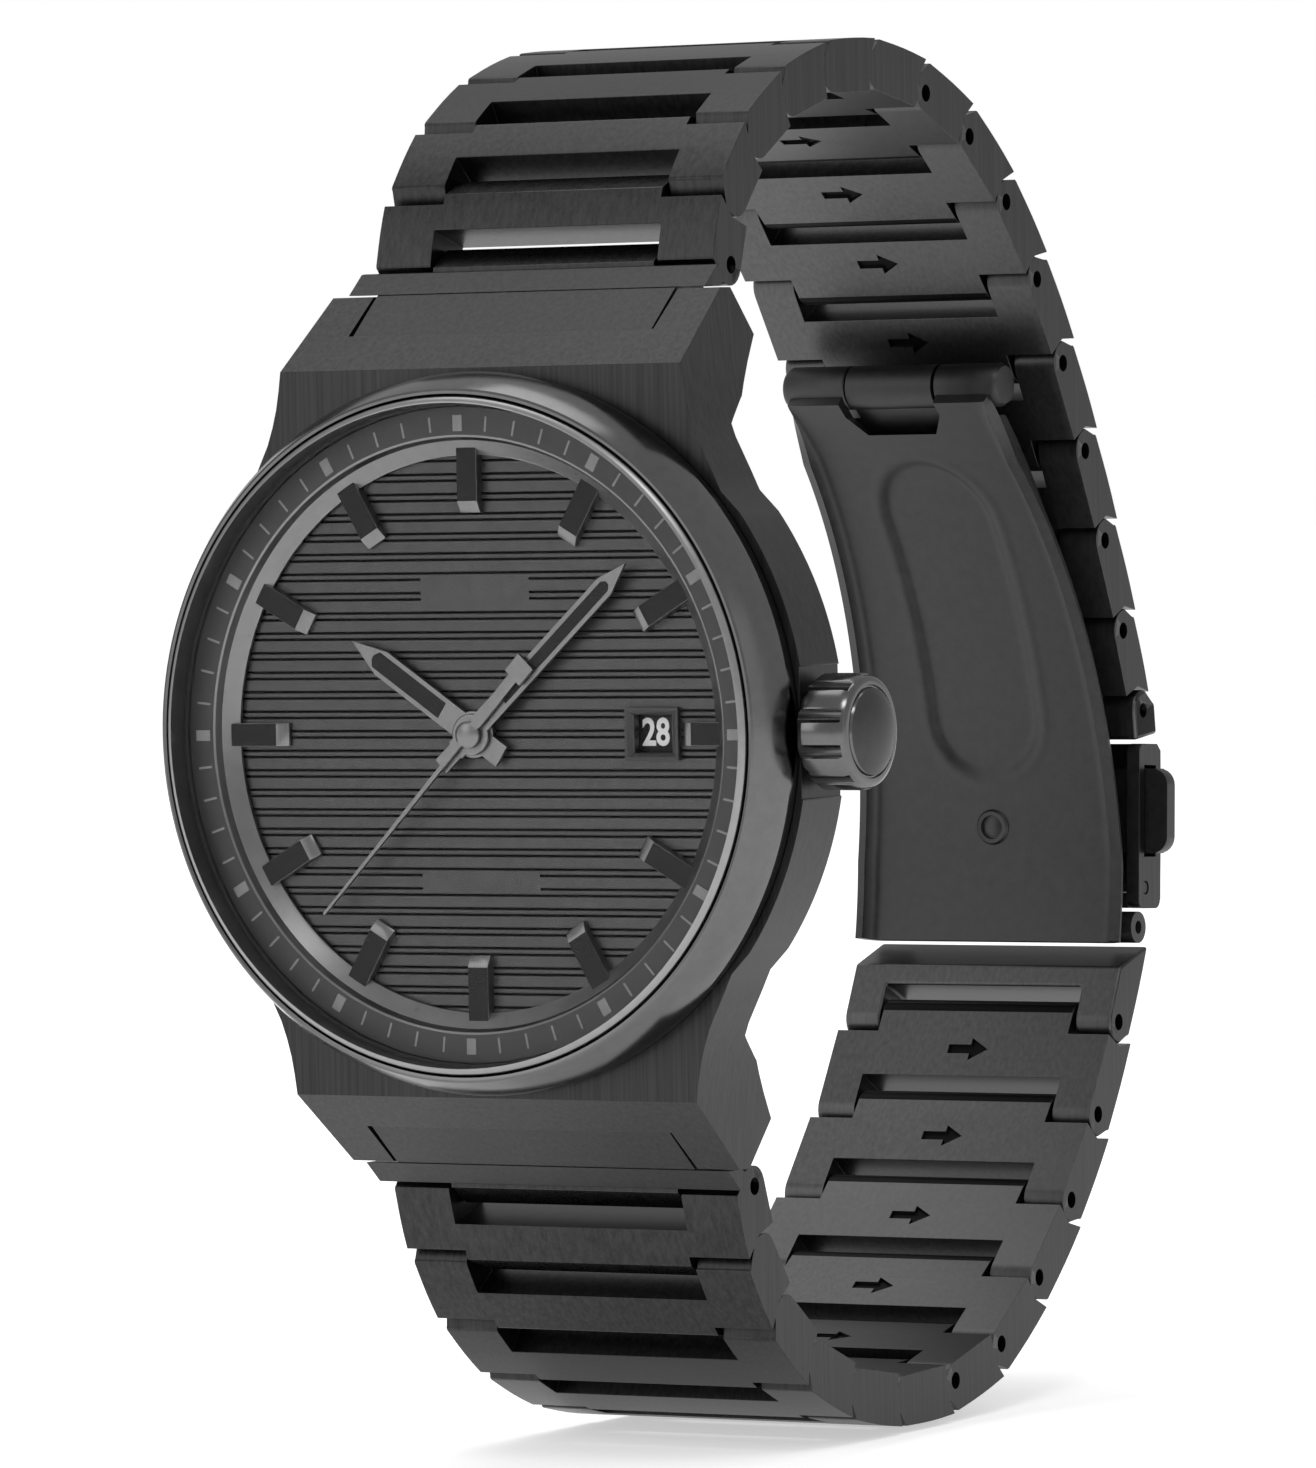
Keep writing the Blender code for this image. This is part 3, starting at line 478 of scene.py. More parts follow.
@dataclass(frozen=True)
class Finish:
    """One surface finish: a tone, how it scatters light, and the strokes or grain in it."""

    name: str
    tone: tuple[float, float]
    rough: tuple[float, float]
    metal: float = 1.0
    strokes: tuple[float, float, float] = (15000.0, 15000.0, 190.0)
    turn: tuple[float, float, float] = (0.0, 0.0, 0.0)
    bump: float = 0.15
    grain: float = 0.3
    alpha: float = 1.0
    specular: float = 0.5
    warmth: float = 0.0
    band: tuple[float, float] = (0.3, 0.7)

    def make(self, groups: Groups) -> Material:
        """Build the material.

        Args:
            groups: The shared node groups.

        Returns:
            The new material.
        """
        material = bpy.data.materials.new(self.name)
        material.use_nodes = True
        tree = material.node_tree
        shader = tree.nodes["Principled BSDF"]
        shader.inputs["Metallic"].default_value = self.metal
        shader.inputs["Alpha"].default_value = self.alpha
        shader.inputs["Specular IOR Level"].default_value = self.specular
        place = add(tree, "TexCoord").outputs["Object"]
        turns = [math.radians(a) for a in self.turn]
        mapping = add(tree, "Mapping", {"Rotation": turns, "Scale": self.strokes}, {"Vector": place})
        brushing = add(tree, "Group")
        brushing.node_tree = groups.brushing
        brushing.inputs["Grain"].default_value = self.grain
        tree.links.new(mapping.outputs["Vector"], brushing.inputs["Vector"])
        handling = add(tree, "Group")
        handling.node_tree = groups.handling
        spread = groups.mix(tree, brushing.outputs["Mask"], handling.outputs["Mask"], 0.3)
        low, high = self.band
        ramp = add(tree, "MapRange", {"From Min": low, "From Max": high, "To Min": self.rough[0],
                                      "To Max": self.rough[1]}, {"Value": spread})
        tree.links.new(ramp.outputs["Result"], shader.inputs["Roughness"])
        colour = add(tree, "ValToRGB", links={"Fac": spread})
        for element, tone, position in zip(colour.color_ramp.elements, self.tone, self.band):
            element.color = (tone * (1 + self.warmth), tone, tone * (1 - self.warmth), 1)
            element.position = position
        tree.links.new(colour.outputs["Color"], shader.inputs["Base Color"])
        if self.bump:
            relief = add(tree, "Bump", {"Strength": self.bump, "Distance": 0.02 * MM},
                         {"Height": brushing.outputs["Height"]})
            tree.links.new(relief.outputs["Normal"], shader.inputs["Normal"])
        return material


EVEN = (5000.0, 5000.0, 5000.0)


class Look(Enum):
    """Every finish of the watch."""

    BRUSHED = Finish("brushed black steel", (0.024, 0.066), (0.3, 0.44), bump=0.35)
    DIAGONAL = Finish("diagonally brushed black steel", (0.022, 0.072), (0.3, 0.44), turn=(0, 28, 0),
                      bump=0.4)
    SATIN = Finish("satin black steel", (0.055, 0.08), (0.42, 0.54), strokes=EVEN, bump=0.3, grain=0.9)
    # Matt brushing is the backs' real finish; their lighter tone is painted fill light for faces turned from
    # the lamps.
    INNER = Finish("matt brushed link backs", (0.07, 0.13), (0.36, 0.48), bump=0.3, grain=0.5)
    POLISHED = Finish("polished black steel", (0.12, 0.15), (0.16, 0.22), strokes=EVEN, bump=0.01)
    BEVEL = Finish("polished link bevels", (0.075, 0.1), (0.24, 0.32), strokes=EVEN, bump=0.02)
    # Near-black painted shade for groove floors, pin holes, pins and arrow floors, where shade falls.
    DEEP = Finish("blackened recesses", (0.008, 0.012), (0.5, 0.6), strokes=EVEN, bump=0.1)
    RUTHENIUM = Finish("grey satin dial furniture", (0.2, 0.26), (0.26, 0.34), strokes=EVEN, bump=0.05)
    # Pale grey painted highlight: stands in for light caught in the crystal's bevelled edge.
    EDGE = Finish("bright crystal edge", (0.26, 0.32), (0.3, 0.36), strokes=EVEN, bump=0.0)
    FACE = Finish("ridged dial", (0.07, 0.105), (0.34, 0.46), metal=0.9, strokes=EVEN, bump=0.35, grain=0.9)
    TRACK = Finish("minute track", (0.05, 0.07), (0.4, 0.5), metal=0.6, strokes=EVEN, bump=0.15, grain=0.8)
    INLAY = Finish("black enamel inlay", (0.010, 0.015), (0.45, 0.55), metal=0.0, strokes=EVEN, bump=0.05,
                   specular=0.25)
    MARK = Finish("pale grey print", (0.2, 0.26), (0.45, 0.55), metal=0.0, strokes=EVEN, bump=0.02)
    NUMERAL = Finish("white print", (0.82, 0.9), (0.5, 0.6), metal=0.0, strokes=EVEN, bump=0.02)
    CRYSTAL = Finish("sapphire crystal", (0.0, 0.01), (0.0, 0.02), metal=0.0, strokes=EVEN, bump=0.0,
                     alpha=0.04)
    BRIGHT = Finish("bright steel", (0.5, 0.6), (0.22, 0.3))
    BRASS = Finish("rhodium brass", (0.5, 0.6), (0.25, 0.35), warmth=0.2)
    RUBBER = Finish("seal rubber", (0.02, 0.03), (0.6, 0.75), metal=0.0, strokes=EVEN, bump=0.2, grain=0.7)


class Palette:
    """Materials made once and handed out by look."""

    def __init__(self) -> None:
        """Build every finish."""
        groups = Groups()
        self.made = {look: look.value.make(groups) for look in Look}

    def __getitem__(self, look: Look) -> Material:
        """The material of a look."""
        return self.made[look]


# ---------------------------------------------------------------- the watch


@dataclass
class Assembly:
    """A group of pieces that is built and mounted together."""

    frame: dict
    palette: Palette

    def mount(self, obj: Obj, body: str, slot: str, *nodes: str) -> Obj:
        """Tie a finished piece to a body, and hide the nodes it stands for.

        Args:
            obj: The finished piece.
            body: The body it moves with.
            slot: The record's material slot; not used.
            nodes: The nodes that it replaces.

        Returns:
            The piece.
        """
        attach(obj, body)
        if nodes:
            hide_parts(*nodes)
        LOG.info("%s: %d faces, on %s", obj.name, len(obj.data.polygons), body)
        return obj

    def dress(self, obj: Obj, main: Look, *others: tuple[Look, Test]) -> Obj:
        """Give a piece its look, and others to the faces that pass their tests."""
        return paint(obj, self.palette[main], *[(self.palette[look], test) for look, test in others])

    def joint(self, name: str) -> dict:
        """The record of a joint."""
        return next(j for j in self.frame["joints"] if j["name"] == name)


@dataclass
class Head(Assembly):
    """Case band, bezel, crystal and case back."""

    face: float = -5.25
    front: float = -6.2
    rear: float = -1.0
    bore: float = 18.0
    band: float = 20.4
    crease: float = 20.2
    lug_end: float = 24.3
    lug_inner: float = 9.9
    lug_width: float = 2.7
    lug_drop: float = 3.1
    bezel_rise: float = 2.6
    crown_radius: float = 3.2
    crown_axis: float = -3.5

    def build(self) -> None:
        """Build the head's pieces."""
        self.case()
        self.bezel()
        self.crystal()
        self.back()

    def case(self) -> None:
        """The band with its creased lugs, bored, notched and brushed."""
        side = arc((0, 0), self.band, 0, 36, 24)
        outer = self.lug_inner + self.lug_width
        waist = [(2.75, -7.05), (2.25, -6.0), (1.75, -5.0), (1.3, -4.1), (0.95, -3.1), (0.68, -2.1),
                 (0.5, -1.1)]
        side += [(outer + out, self.crease + up) for out, up in waist]
        side += [(outer + 0.35, self.crease), (outer, self.lug_end)]
        side += [(self.lug_inner, self.lug_end), (self.lug_inner, self.crease + 1.9)]
        half = side + [(-x, z) for x, z in reversed(side)]
        outline = half + [(-x, -z) for x, z in half[1:-1]]
        case = slab("case_band", outline, Plane.XZ, self.face, self.lug_drop + 1)
        drop, end, z = self.lug_drop, self.lug_end, self.crease
        flank = [(self.face, z), (-0.1, end), (1.0, end), (drop, end - 2.6), (drop - 2.2, z - 1.9),
                 (self.rear, z - 3.4)]
        mirrored = flank + [(y, -w) for y, w in reversed(flank)]
        boolean(case, [slab("flank", mirrored, Plane.YZ, -30, 30)], "INTERSECT")
        bore = spun("bore", [(0, -9), (self.bore, -9), (self.bore, -2.4), (16.1, -2.4), (16.1, -1.95),
                             (17.1, -1.95), (17.1, 5), (0, 5)])
        reach = self.crown_radius + 0.4
        pocket = block("pocket", (self.band - 0.4, 24), (-30, 30), (-reach, reach))
        hole = rod("stem_hole", 1.35, self.bore - 2, self.band + 2, "X", (0, self.crown_axis, 0))
        cut(case, bore, pocket, hole)
        softened(case, 0.12, 3, 30)

        def on_slope(centre: Vector, normal: Vector) -> bool:
            """Faces of the lugs' front slope."""
            return abs(centre.z) > self.crease - 0.3 and normal.y < -0.25 and abs(normal.z) > 0.3

        self.dress(case, Look.BRUSHED, (Look.DIAGONAL, on_slope))
        self.mount(case, "case", "black_steel", "case_middle")

    def bezel(self) -> None:
        """The polished bezel: a steep cone from a narrow rim to the band."""
        top = self.front - self.bezel_rise
        foot = self.face - 0.1
        rise = [(18.75, 0.12), (18.8, 0.02), (18.95, 0.0), (19.08, 0.06), (19.5, 0.8), (19.85, 1.75),
                (19.97, 2.4), (20.0, 2.65), (19.9, 2.75)]
        profile = [(18.75, foot), *[(r, top + up) for r, up in rise], (19.9, foot), (18.75, foot)]
        bezel = spun("bezel_ring", profile, steps=180)
        smooth(bezel, 24)
        self.dress(bezel, Look.POLISHED)
        self.mount(bezel, "case", "polished_black", "bezel")

    def crystal(self) -> None:
        """The flat sapphire, and an opaque ring round it whose pale grey is a painted highlight of its
        bevelled edge.
        """
        low, top = -7.75, -9.1
        crystal = spun("crystal_plate", [(0, low), (18.28, low), (18.28, top), (0, top)], steps=180)
        self.dress(smooth(crystal, 30), Look.CRYSTAL)
        self.mount(crystal, "case", "sapphire", "crystal")
        rim = [(18.3, low), (18.66, low), (18.66, top + 0.3), (18.6, top + 0.2), (18.4, top + 0.02),
               (18.3, top), (18.3, low)]
        # Opaque pale ring round the glass; its grey is a painted highlight of the edge catching light.
        edge = spun("crystal_rim", rim, steps=180)
        self.dress(smooth(edge, 40), Look.EDGE)
        self.mount(edge, "case", "sapphire")

    def back(self) -> None:
        """The screwed case back: a stepped disc with six key notches."""
        profile = [(0, -1.5), (16.8, -1.5), (16.8, -0.75), (16.5, -0.5), (15.4, -0.12), (15.1, -0.02),
                   (13.6, 0), (13.4, -0.14), (12.9, -0.14), (12.7, 0), (0, 0)]
        back = spun("case_back_disc", profile, steps=120)
        notch = block("notch", (14.2, 16.2), (-0.45, 1), (-1.1, 1.1))
        cut(back, *ring_of(notch, 6))
        softened(back, 0.07, 2, 28)
        self.dress(back, Look.SATIN,
              (Look.BRUSHED, lambda c, n: n.y > 0.9 and math.hypot(c.x, c.z) < 12.8))
        self.mount(back, "case", "black_steel", "case_back")


@dataclass
class Face(Assembly):
    """Dial, minute track, hour bars, date and hands."""

    level: float = -6.1
    foot: float = -6.3
    track_level: float = -7.5
    track_inner: float = 16.4
    cone_foot: float = 15.4
    pair_step: float = 1.09
    pair_gap: float = 0.35
    groove: float = 0.1
    depth: float = 0.12
    fields: tuple = ((3.5, 6.9, 8.7), (3.8, -8.6, -7.5))
    date_x: float = 11.3
    days: int = 31
    shown_day: int = 28

    def build(self) -> None:
        """Build the dial side."""
        self.dial()
        self.track()
        self.marks()
        self.bars()
        self.date()
        self.hands()

    def dial(self) -> None:
        """The dial: paired grooves from edge to edge, broken where two plain fields are left."""
        reach, far = 15.6, 20.0
        dial = rod("dial_plate", 16.6, self.level, self.level + 0.4, "Y", steps=128)
        grooves = []
        rows = int(reach / self.pair_step)
        for row in range(-rows, rows + 1):
            for half in (-0.5, 0.5):
                z = row * self.pair_step + half * self.pair_gap
                field = next((x for x, z0, z1 in self.fields if z0 < z < z1), 0.0)
                spans = [(-far, -field), (field, far)] if field else [(-far, far)]
                grooves += [self.groove_cutter(x0, x1, z) for x0, x1 in spans]
        window = block("window", (self.date_x - 1.2, self.date_x + 1.2), (-9, 0), (-1.05, 1.05))
        cut(dial, gather("grooves", grooves), window, rod("centre", 1.1, -9, 0, "Y"))
        floor_level = self.level + self.depth / 2
        # The groove floors get near-black painted shade.
        self.dress(dial, Look.FACE,
              (Look.DEEP, lambda c, n: floor_level < c.y < self.level + 0.2 and n.y < -0.5))
        self.mount(dial, "case", "dial_black", "dial")

    def groove_cutter(self, x0: float, x1: float, z: float) -> Obj:
        """A wedge with a flat floor that cuts one groove of the dial."""
        edge, above, floor = self.groove / 2, self.level - 0.5, self.level + self.depth
        mouth = edge + 0.03
        wedge = [(above, z - mouth), (self.level, z - mouth), (floor, z - edge), (floor, z + edge),
                 (self.level, z + mouth), (above, z + mouth)]
        return slab("groove", wedge, Plane.YZ, x0, x1)

    def track(self) -> None:
        """The flat minute track and the two-step slope inside it."""
        top, rim = self.track_level, -7.2
        inner, cone, base = self.track_inner, self.cone_foot, self.foot + 0.08
        profile = [(cone, base), (18.5, base), (18.5, rim), (18.05, rim), (18.05, top), (inner + 0.12, top),
                   (inner, top + 0.06), (16.22, top + 0.45), (cone + 0.12, self.foot - 0.2),
                   (cone, self.foot - 0.12), (cone, base)]
        track = spun("minute_ring", profile, steps=180)
        smooth(track, 12)

        def flat(centre: Vector, normal: Vector) -> bool:
            """The flat that carries the marks."""
            return normal.y < -0.9 and math.hypot(centre.x, centre.z) > self.track_inner

        self.dress(track, Look.RUTHENIUM, (Look.TRACK, flat))
        self.mount(track, "case", "ring_grey", "chapter_ring")

    def marks(self) -> None:
        """Sixty raised marks, broader every fifth."""
        top = self.track_level
        thin = block("minute_mark", (-0.065, 0.065), (top - 0.02, top + 0.05), (16.75, 17.6))
        wide = block("hour_mark", (-0.3, 0.3), (top - 0.04, top + 0.05), (16.72, 17.62))
        hours = range(0, 60, 5)
        parts = ring_of(thin, 60, skip=list(hours)) + ring_of(wide, 12)
        marks = gather("minute_marks", parts)
        softened(marks, 0.012, 1, 40)
        self.dress(marks, Look.MARK)
        self.mount(marks, "case", "ring_grey")

    def bars(self) -> None:
        """Twelve faceted hour bars with black inlays; the one by the date is shorter."""
        shells, inlays = [], []
        root = self.level + 0.05
        for hour in range(12):
            start = 13.3 if hour == 3 else 12.2
            turn = Matrix.Rotation(math.tau * hour / 12, 4, "Y")
            profile = [(root, start), (-6.36, start), (-6.7, start + 0.62), (-6.7, 15.9), (-6.62, 16.32),
                       (-6.3, 16.4), (root, 16.4)]
            bar = softened(slab("bar", profile, Plane.YZ, -0.65, 0.65), 0.05, 2)
            bar.data.transform(turn)
            shells.append(bar)
            inlay = softened(block("inlay", (-0.62, 0.62), (-6.73, -6.6), (start + 0.66, 16.0)), 0.02, 1)
            inlay.data.transform(turn)
            inlays.append(inlay)
        bars = self.dress(gather("hour_bars", shells), Look.RUTHENIUM)
        self.mount(bars, "case", "ring_grey")
        black = self.dress(gather("hour_bar_inlays", inlays), Look.INLAY)
        self.mount(black, "case", "dial_black")

    def date(self) -> None:
        """The date frame, and the date disc with its printed days."""
        x, top = self.date_x, self.level
        rim = block("date_surround", (x - 1.7, x + 1.7), (top - 0.35, top), (-1.45, 1.45))
        edit(rim, "FACE")
        bpy.ops.mesh.select_all(action="DESELECT")
        bpy.ops.object.mode_set(mode="OBJECT")
        for polygon in rim.data.polygons:
            polygon.select = polygon.normal.y < -0.9
        bpy.ops.object.mode_set(mode="EDIT")
        bpy.ops.mesh.inset(thickness=0.18 * MM)
        bpy.ops.mesh.inset(thickness=0.24 * MM, depth=-0.22 * MM)
        bpy.ops.object.mode_set(mode="OBJECT")
        cut(rim, block("opening", (x - 1.2, x + 1.2), (-9, 0), (-1.05, 1.05)))
        softened(rim, 0.04, 2, 30)
        self.dress(rim, Look.TRACK)
        self.mount(rim, "case", "ring_grey", "date_frame")
        low = top + 0.6
        section = [(9.2, low), (13.6, low), (13.6, low + 0.3), (9.2, low + 0.3), (9.2, low)]
        disc = spun("date_ring", section, steps=124)
        self.dress(smooth(disc, 30), Look.INLAY)
        self.mount(disc, "date_disc", "date_white", "date_disc")
        numbers = [self.numeral(day, low) for day in range(1, self.days + 1)]
        print_ = self.dress(gather("date_numerals", numbers), Look.NUMERAL)
        self.mount(print_, "date_disc", "date_white")

    def numeral(self, day: int, level: float) -> Obj:
        """One day's number, upright in the window when its turn comes."""
        bare()
        bpy.ops.object.text_add(location=(0, 0, 0))
        text = bpy.context.object
        text.data.body = str(day)
        text.data.size = 2.1 * MM
        text.data.align_x = "CENTER"
        text.data.align_y = "CENTER"
        text.data.extrude = 0.02 * MM
        text.data.offset = 0.05 * MM
        text.data.resolution_u = 3
        bpy.ops.object.convert(target="MESH")
        obj = bpy.context.object
        upright = Matrix.Rotation(math.pi / 2, 4, "X")
        place = Matrix.Translation(Vector((self.date_x - 0.22, level - 0.02, 0)) * MM)
        turn = Matrix.Rotation(math.tau * (day - self.shown_day) / self.days, 4, "Y")
        narrow = Matrix.Diagonal((0.84, 1.0, 1.0, 1.0))
        obj.data.transform(turn @ place @ upright @ narrow)
        return obj

    def hands(self) -> None:
        """Three hands: framed and inlaid for hour and minute, a needle for the seconds."""
        self.baton("hour_hand", 9.3, 2.2, 1.5, 1.3, -6.47, 304, (2.35, 7.45))
        self.baton("minute_hand", 13.8, 2.6, 1.2, 1.15, -6.77, 47.5, (2.9, 12.0))
        level, angle = -7.07, 224
        chain = [(-0.32, -5.4), (0.32, -5.4), (0.3, -0.9), (0.14, 0), (0.075, 13.85), (-0.075, 13.85),
                 (-0.14, 0), (-0.3, -0.9)]
        needle = slab("needle", chain, Plane.XZ, level - 0.2, level)
        weight = block("weight", (-0.62, 0.62), (level - 0.24, level), (-5.6, -4.35))
        low, top = level + 0.02, level - 0.3
        boss = spun("boss", [(0, low), (0.75, low), (0.75, level - 0.2), (0.55, top), (0, top)], steps=40)
        pin = rod("pin", 0.24, level, -5.65, "Y", steps=24)
        hand = fuse(needle, weight, boss, pin)
        softened(hand, 0.03, 1)
        hand.data.transform(Matrix.Rotation(math.radians(angle), 4, "Y"))
        hand.name = "second_needle"
        self.dress(hand, Look.RUTHENIUM)
        self.mount(hand, "second_hand", "ring_grey", "second_hand")

    def baton(self, body: str, length: float, tail: float, width: float, hub: float, level: float,
              angle: float, inlay: tuple[float, float]) -> None:
        """A pointed baton hand with a black inlay.

        Args:
            body: The hand's body and node.
            length: From the axis to the tip.
            tail: From the axis to the other end.
            width: Across the baton.
            hub: Radius of the hub.
            level: The rear face's place.
            angle: Clockwise from 12 o'clock, in degrees.
            inlay: Where the inlay starts and ends.
        """
        half, neck = width / 2, length - width * 1.5
        chain = [(-half, -tail), (half, -tail), (half, neck), (0, length), (-half, neck)]
        hand = slab(body + "_baton", chain, Plane.XZ, level - 0.2, level)
        waist = [block("waist", side, (level - 1, level + 1), (-tail - 1, -tail * 0.5))
                 for side in ((-half, 0.1 - half), (half - 0.1, half))]
        low, top = level + 0.02, level - 0.22
        disc = spun("hub", [(0, low), (hub, low), (hub, level - 0.17), (hub - 0.12, top), (0, top)], steps=48)
        pipe = rod("pipe", hub * 0.5, level, -5.65, "Y", steps=24)
        cut(hand, *waist)
        fuse(hand, disc, pipe)
        softened(hand, 0.07, 1)
        start, end = inlay
        fill_half = half - 0.26
        outline = [(-fill_half, start), (fill_half, start), (fill_half, end), (0.12, end + 0.25),
                   (-0.12, end + 0.25), (-fill_half, end)]
        fill = slab(body + "_inlay", outline, Plane.XZ, level - 0.222, level - 0.12)
        softened(fill, 0.012, 1)
        turn = Matrix.Rotation(math.radians(angle), 4, "Y")
        for obj in (hand, fill):
            obj.data.transform(turn)
        self.dress(hand, Look.RUTHENIUM)
        self.dress(fill, Look.INLAY)
        self.mount(hand, body, "ring_grey", body)
        self.mount(fill, body, "dial_black")


@dataclass
class Crown(Assembly):
    """The fluted crown."""

    radius: float = 3.2
    axis: float = -3.5
    base: float = 20.35
    length: float = 3.1
    flutes: int = 10

    def build(self) -> None:
        """A turned barrel with ten scooped flutes and a domed, rimmed end."""
        tip = self.base + self.length
        at = (0, self.axis, 0)
        profile = [(0, self.base), (2.75, self.base), (2.95, self.base + 0.1), (self.radius, self.base + 0.5),
                   (self.radius, tip - 0.55), (3.0, tip - 0.12), (2.72, tip), (2.55, tip), (2.5, tip - 0.12),
                   (2.42, tip - 0.12), (2.36, tip + 0.1), (1.8, tip + 0.36), (1.1, tip + 0.52),
                   (0.5, tip + 0.59), (0, tip + 0.6)]
        crown = spun("crown_knob", profile, "X", at, 120)
        grooves = []
        for index in range(self.flutes):
            angle = math.tau * (index + 0.5) / self.flutes
            reach = self.radius + 0.1
            place = (0, self.axis + reach * math.cos(angle), reach * math.sin(angle))
            grooves.append(rod("flute", 0.42, self.base - 1, tip - 0.28, "X", place, 24))
        cut(crown, *grooves)
        softened(crown, 0.06, 2, 30)
        self.dress(crown, Look.POLISHED,
              (Look.SATIN, lambda c, n: c.x > tip + 0.12 and n.x > 0.5))
        self.mount(crown, "crown", "polished_black", "crown")


@dataclass
class Link:
    """One link's own sizes and place."""

    name: str
    pitch: float
    width: float
    next_width: float
    leg: float
    next_leg: float
    outer: float
    matrix: Matrix
    drilled: bool = False
    arrow: bool = False
    stub: bool = False


@dataclass
class Bracelet(Assembly):
    """Both halves of the bracelet, from the end links to the clasp."""

    widths_12: tuple[float, float] = (22.0, 17.2)
    widths_6: tuple[float, float] = (22.4, 18.2)
    legs: tuple[float, float] = (3.6, 2.4)
    outers: tuple[float, float] = (1.9, 1.5)
    clasp_width: float = 18.2
    eye: float = 1.2
    lip: float = 0.35
    window: float = 0.65
    first_heading: float = 8.0
    arrows: tuple[int, ...] = (7, 8, 9, 10, 11)
    counts: tuple[int, int] = (14, 12)
    pins: dict = field(default_factory=dict)
    headings: dict = field(default_factory=dict)

    def build(self) -> None:
        """Build every link of both halves, and the end links."""
        for side, count in (("12", self.counts[0]), ("6", self.counts[1])):
            self.trace(side, count)
            for link in self.plan(side, count):
                self.link(link)
            self.end_link(side)

    def trace(self, side: str, count: int) -> None:
        """Read one half's pins, and its headings from the pins' limits."""
        places = [Vector(self.joint(f"pin_{side}_{k:02d}")["pos_m"]) / MM for k in range(1, count + 1)]
        limits = [max(map(abs, self.joint(f"pin_{side}_{k:02d}")["range_deg"])) for k in range(1, count + 1)]
        flat = [(p.y, abs(p.z)) for p in places]
        first = math.degrees(math.atan2(flat[1][0] - flat[0][0], flat[1][1] - flat[0][1]))
        headings = [first]
        for limit in limits[1:]:
            headings.append(headings[-1] + limit)
        self.pins[side] = flat
        self.headings[side] = headings

    def pose(self, side: str, pin: tuple[float, float], heading: float) -> Matrix:
        """A link's place in the loop: its own Z runs along the bracelet, its own Y toward the wrist."""
        place = Matrix.Translation(Vector((0, *pin)) * MM) @ Matrix.Rotation(math.radians(-heading), 4, "X")
        return place if side == "12" else Matrix.Rotation(math.pi, 4, "Y") @ place

    def plan(self, side: str, count: int) -> list[Link]:
        """The sizes and places of one half's links."""
        widths = self.widths_12 if side == "12" else self.widths_6
        pins, headings = self.pins[side], self.headings[side]
        made = []
        for k in range(count):
            here, there = k / (count - 1), (k + 1) / (count - 1)
            last = k == count - 1
            if not last:
                pitch = math.dist(pins[k], pins[k + 1])
            else:
                pitch = 5.2 if side == "12" else 6.2
            next_width = self.clasp_width - 0.2 if last and side == "12" else blend(widths, there)
            made.append(Link(f"link_{side}_{k + 1:02d}", pitch, blend(widths, here), next_width,
                             blend(self.legs, here), blend(self.legs, there), blend(self.outers, here),
                             self.pose(side, pins[k], headings[k]), k == 0 or k + 1 >= self.arrows[0],
                             k + 1 in self.arrows and not (side == "12" and k == 10), last and side == "6"))
        return made

    def profile(self, link: Link) -> list[tuple[float, float]]:
        """A link's outline in its own (toward the wrist, along): a crowned outer face and round eyes."""
        eye, lip, outer, pitch = self.eye, self.lip, link.outer, link.pitch
        chain = arc((-lip + 0.22, -outer + 0.22), 0.22, 270, 180, 2)
        chain += [(-eye + 0.02, -0.5)] + arc((0, 0), eye, 180, 90, 6) + arc((pitch, 0), eye, 90, 0, 6)
        chain += [(pitch + eye, -0.5), (pitch, -outer)]
        crown = [(pitch * share, -outer - 0.1 * math.sin(math.pi * share))
                 for share in (0.85, 0.65, 0.45, 0.25)]
        return [(t, s) for s, t in chain + crown]

    def link(self, link: Link) -> None:
        """One H-shaped link: drilled legs, a recess, a tongue with its polished bevel, and an arrow."""
        width, pitch, outer = link.width / 2, link.pitch, link.outer
        name = link.name.replace("link", "bracelet_link")
        piece = slab(name, self.profile(link), Plane.YZ, -width, width)
        inner = width - link.leg
        tongue = link.next_width / 2 - link.next_leg - 0.2
        recess = self.eye + self.window
        tools = [block("recess", (-inner, inner), (-9, 9), (-9, recess))]
        if not link.stub:
            edge = pitch - self.lip - 0.25
            step = pitch - self.eye - 0.2
            shoulder = [(-9, edge), (-outer, edge), (-0.4, step), (9, step), (9, pitch + 9), (-9, pitch + 9)]
            tools += [slab("shoulder", shoulder, Plane.YZ, low, high)
                      for low, high in ((-15, -tongue), (tongue, 15))]
            tools.append(rod("bore", 0.62, -tongue - 1, tongue + 1, "X", (0, 0, pitch), 20))
        else:
            tools.append(self.free_space(link))
        cut(piece, *tools)
        soften_sides = 0.2 if link.leg > 3 else 0.26
        softened(piece, soften_sides, 3, 38)
        holes = []
        if link.drilled:
            holes = side_rods("hole", 0.5, width, 0.5, 1, 0.1, 0)
        if link.arrow:
            holes.append(self.arrow(pitch * 0.5 + 0.55, -1 if "_6_" in link.name else 1))
        cut(piece, *holes)
        pin = rod("pin", 0.5, -inner - link.leg * 0.6, inner + link.leg * 0.6, "X", (0, 0, 0), 20)
        fuse(piece, pin)
        smooth(piece)

        def on_bevel(centre: Vector, normal: Vector) -> bool:
            """The sloped outer end of the tongue."""
            return (centre.z > pitch - 0.1 and normal.y < -0.3 and normal.z > 0.2
                    and abs(centre.x) < tongue + 0.01)

        def inside(centre: Vector, normal: Vector) -> bool:
            """Faces toward the wrist, which get a lighter tone as painted fill light."""
            return normal.y > 0.5

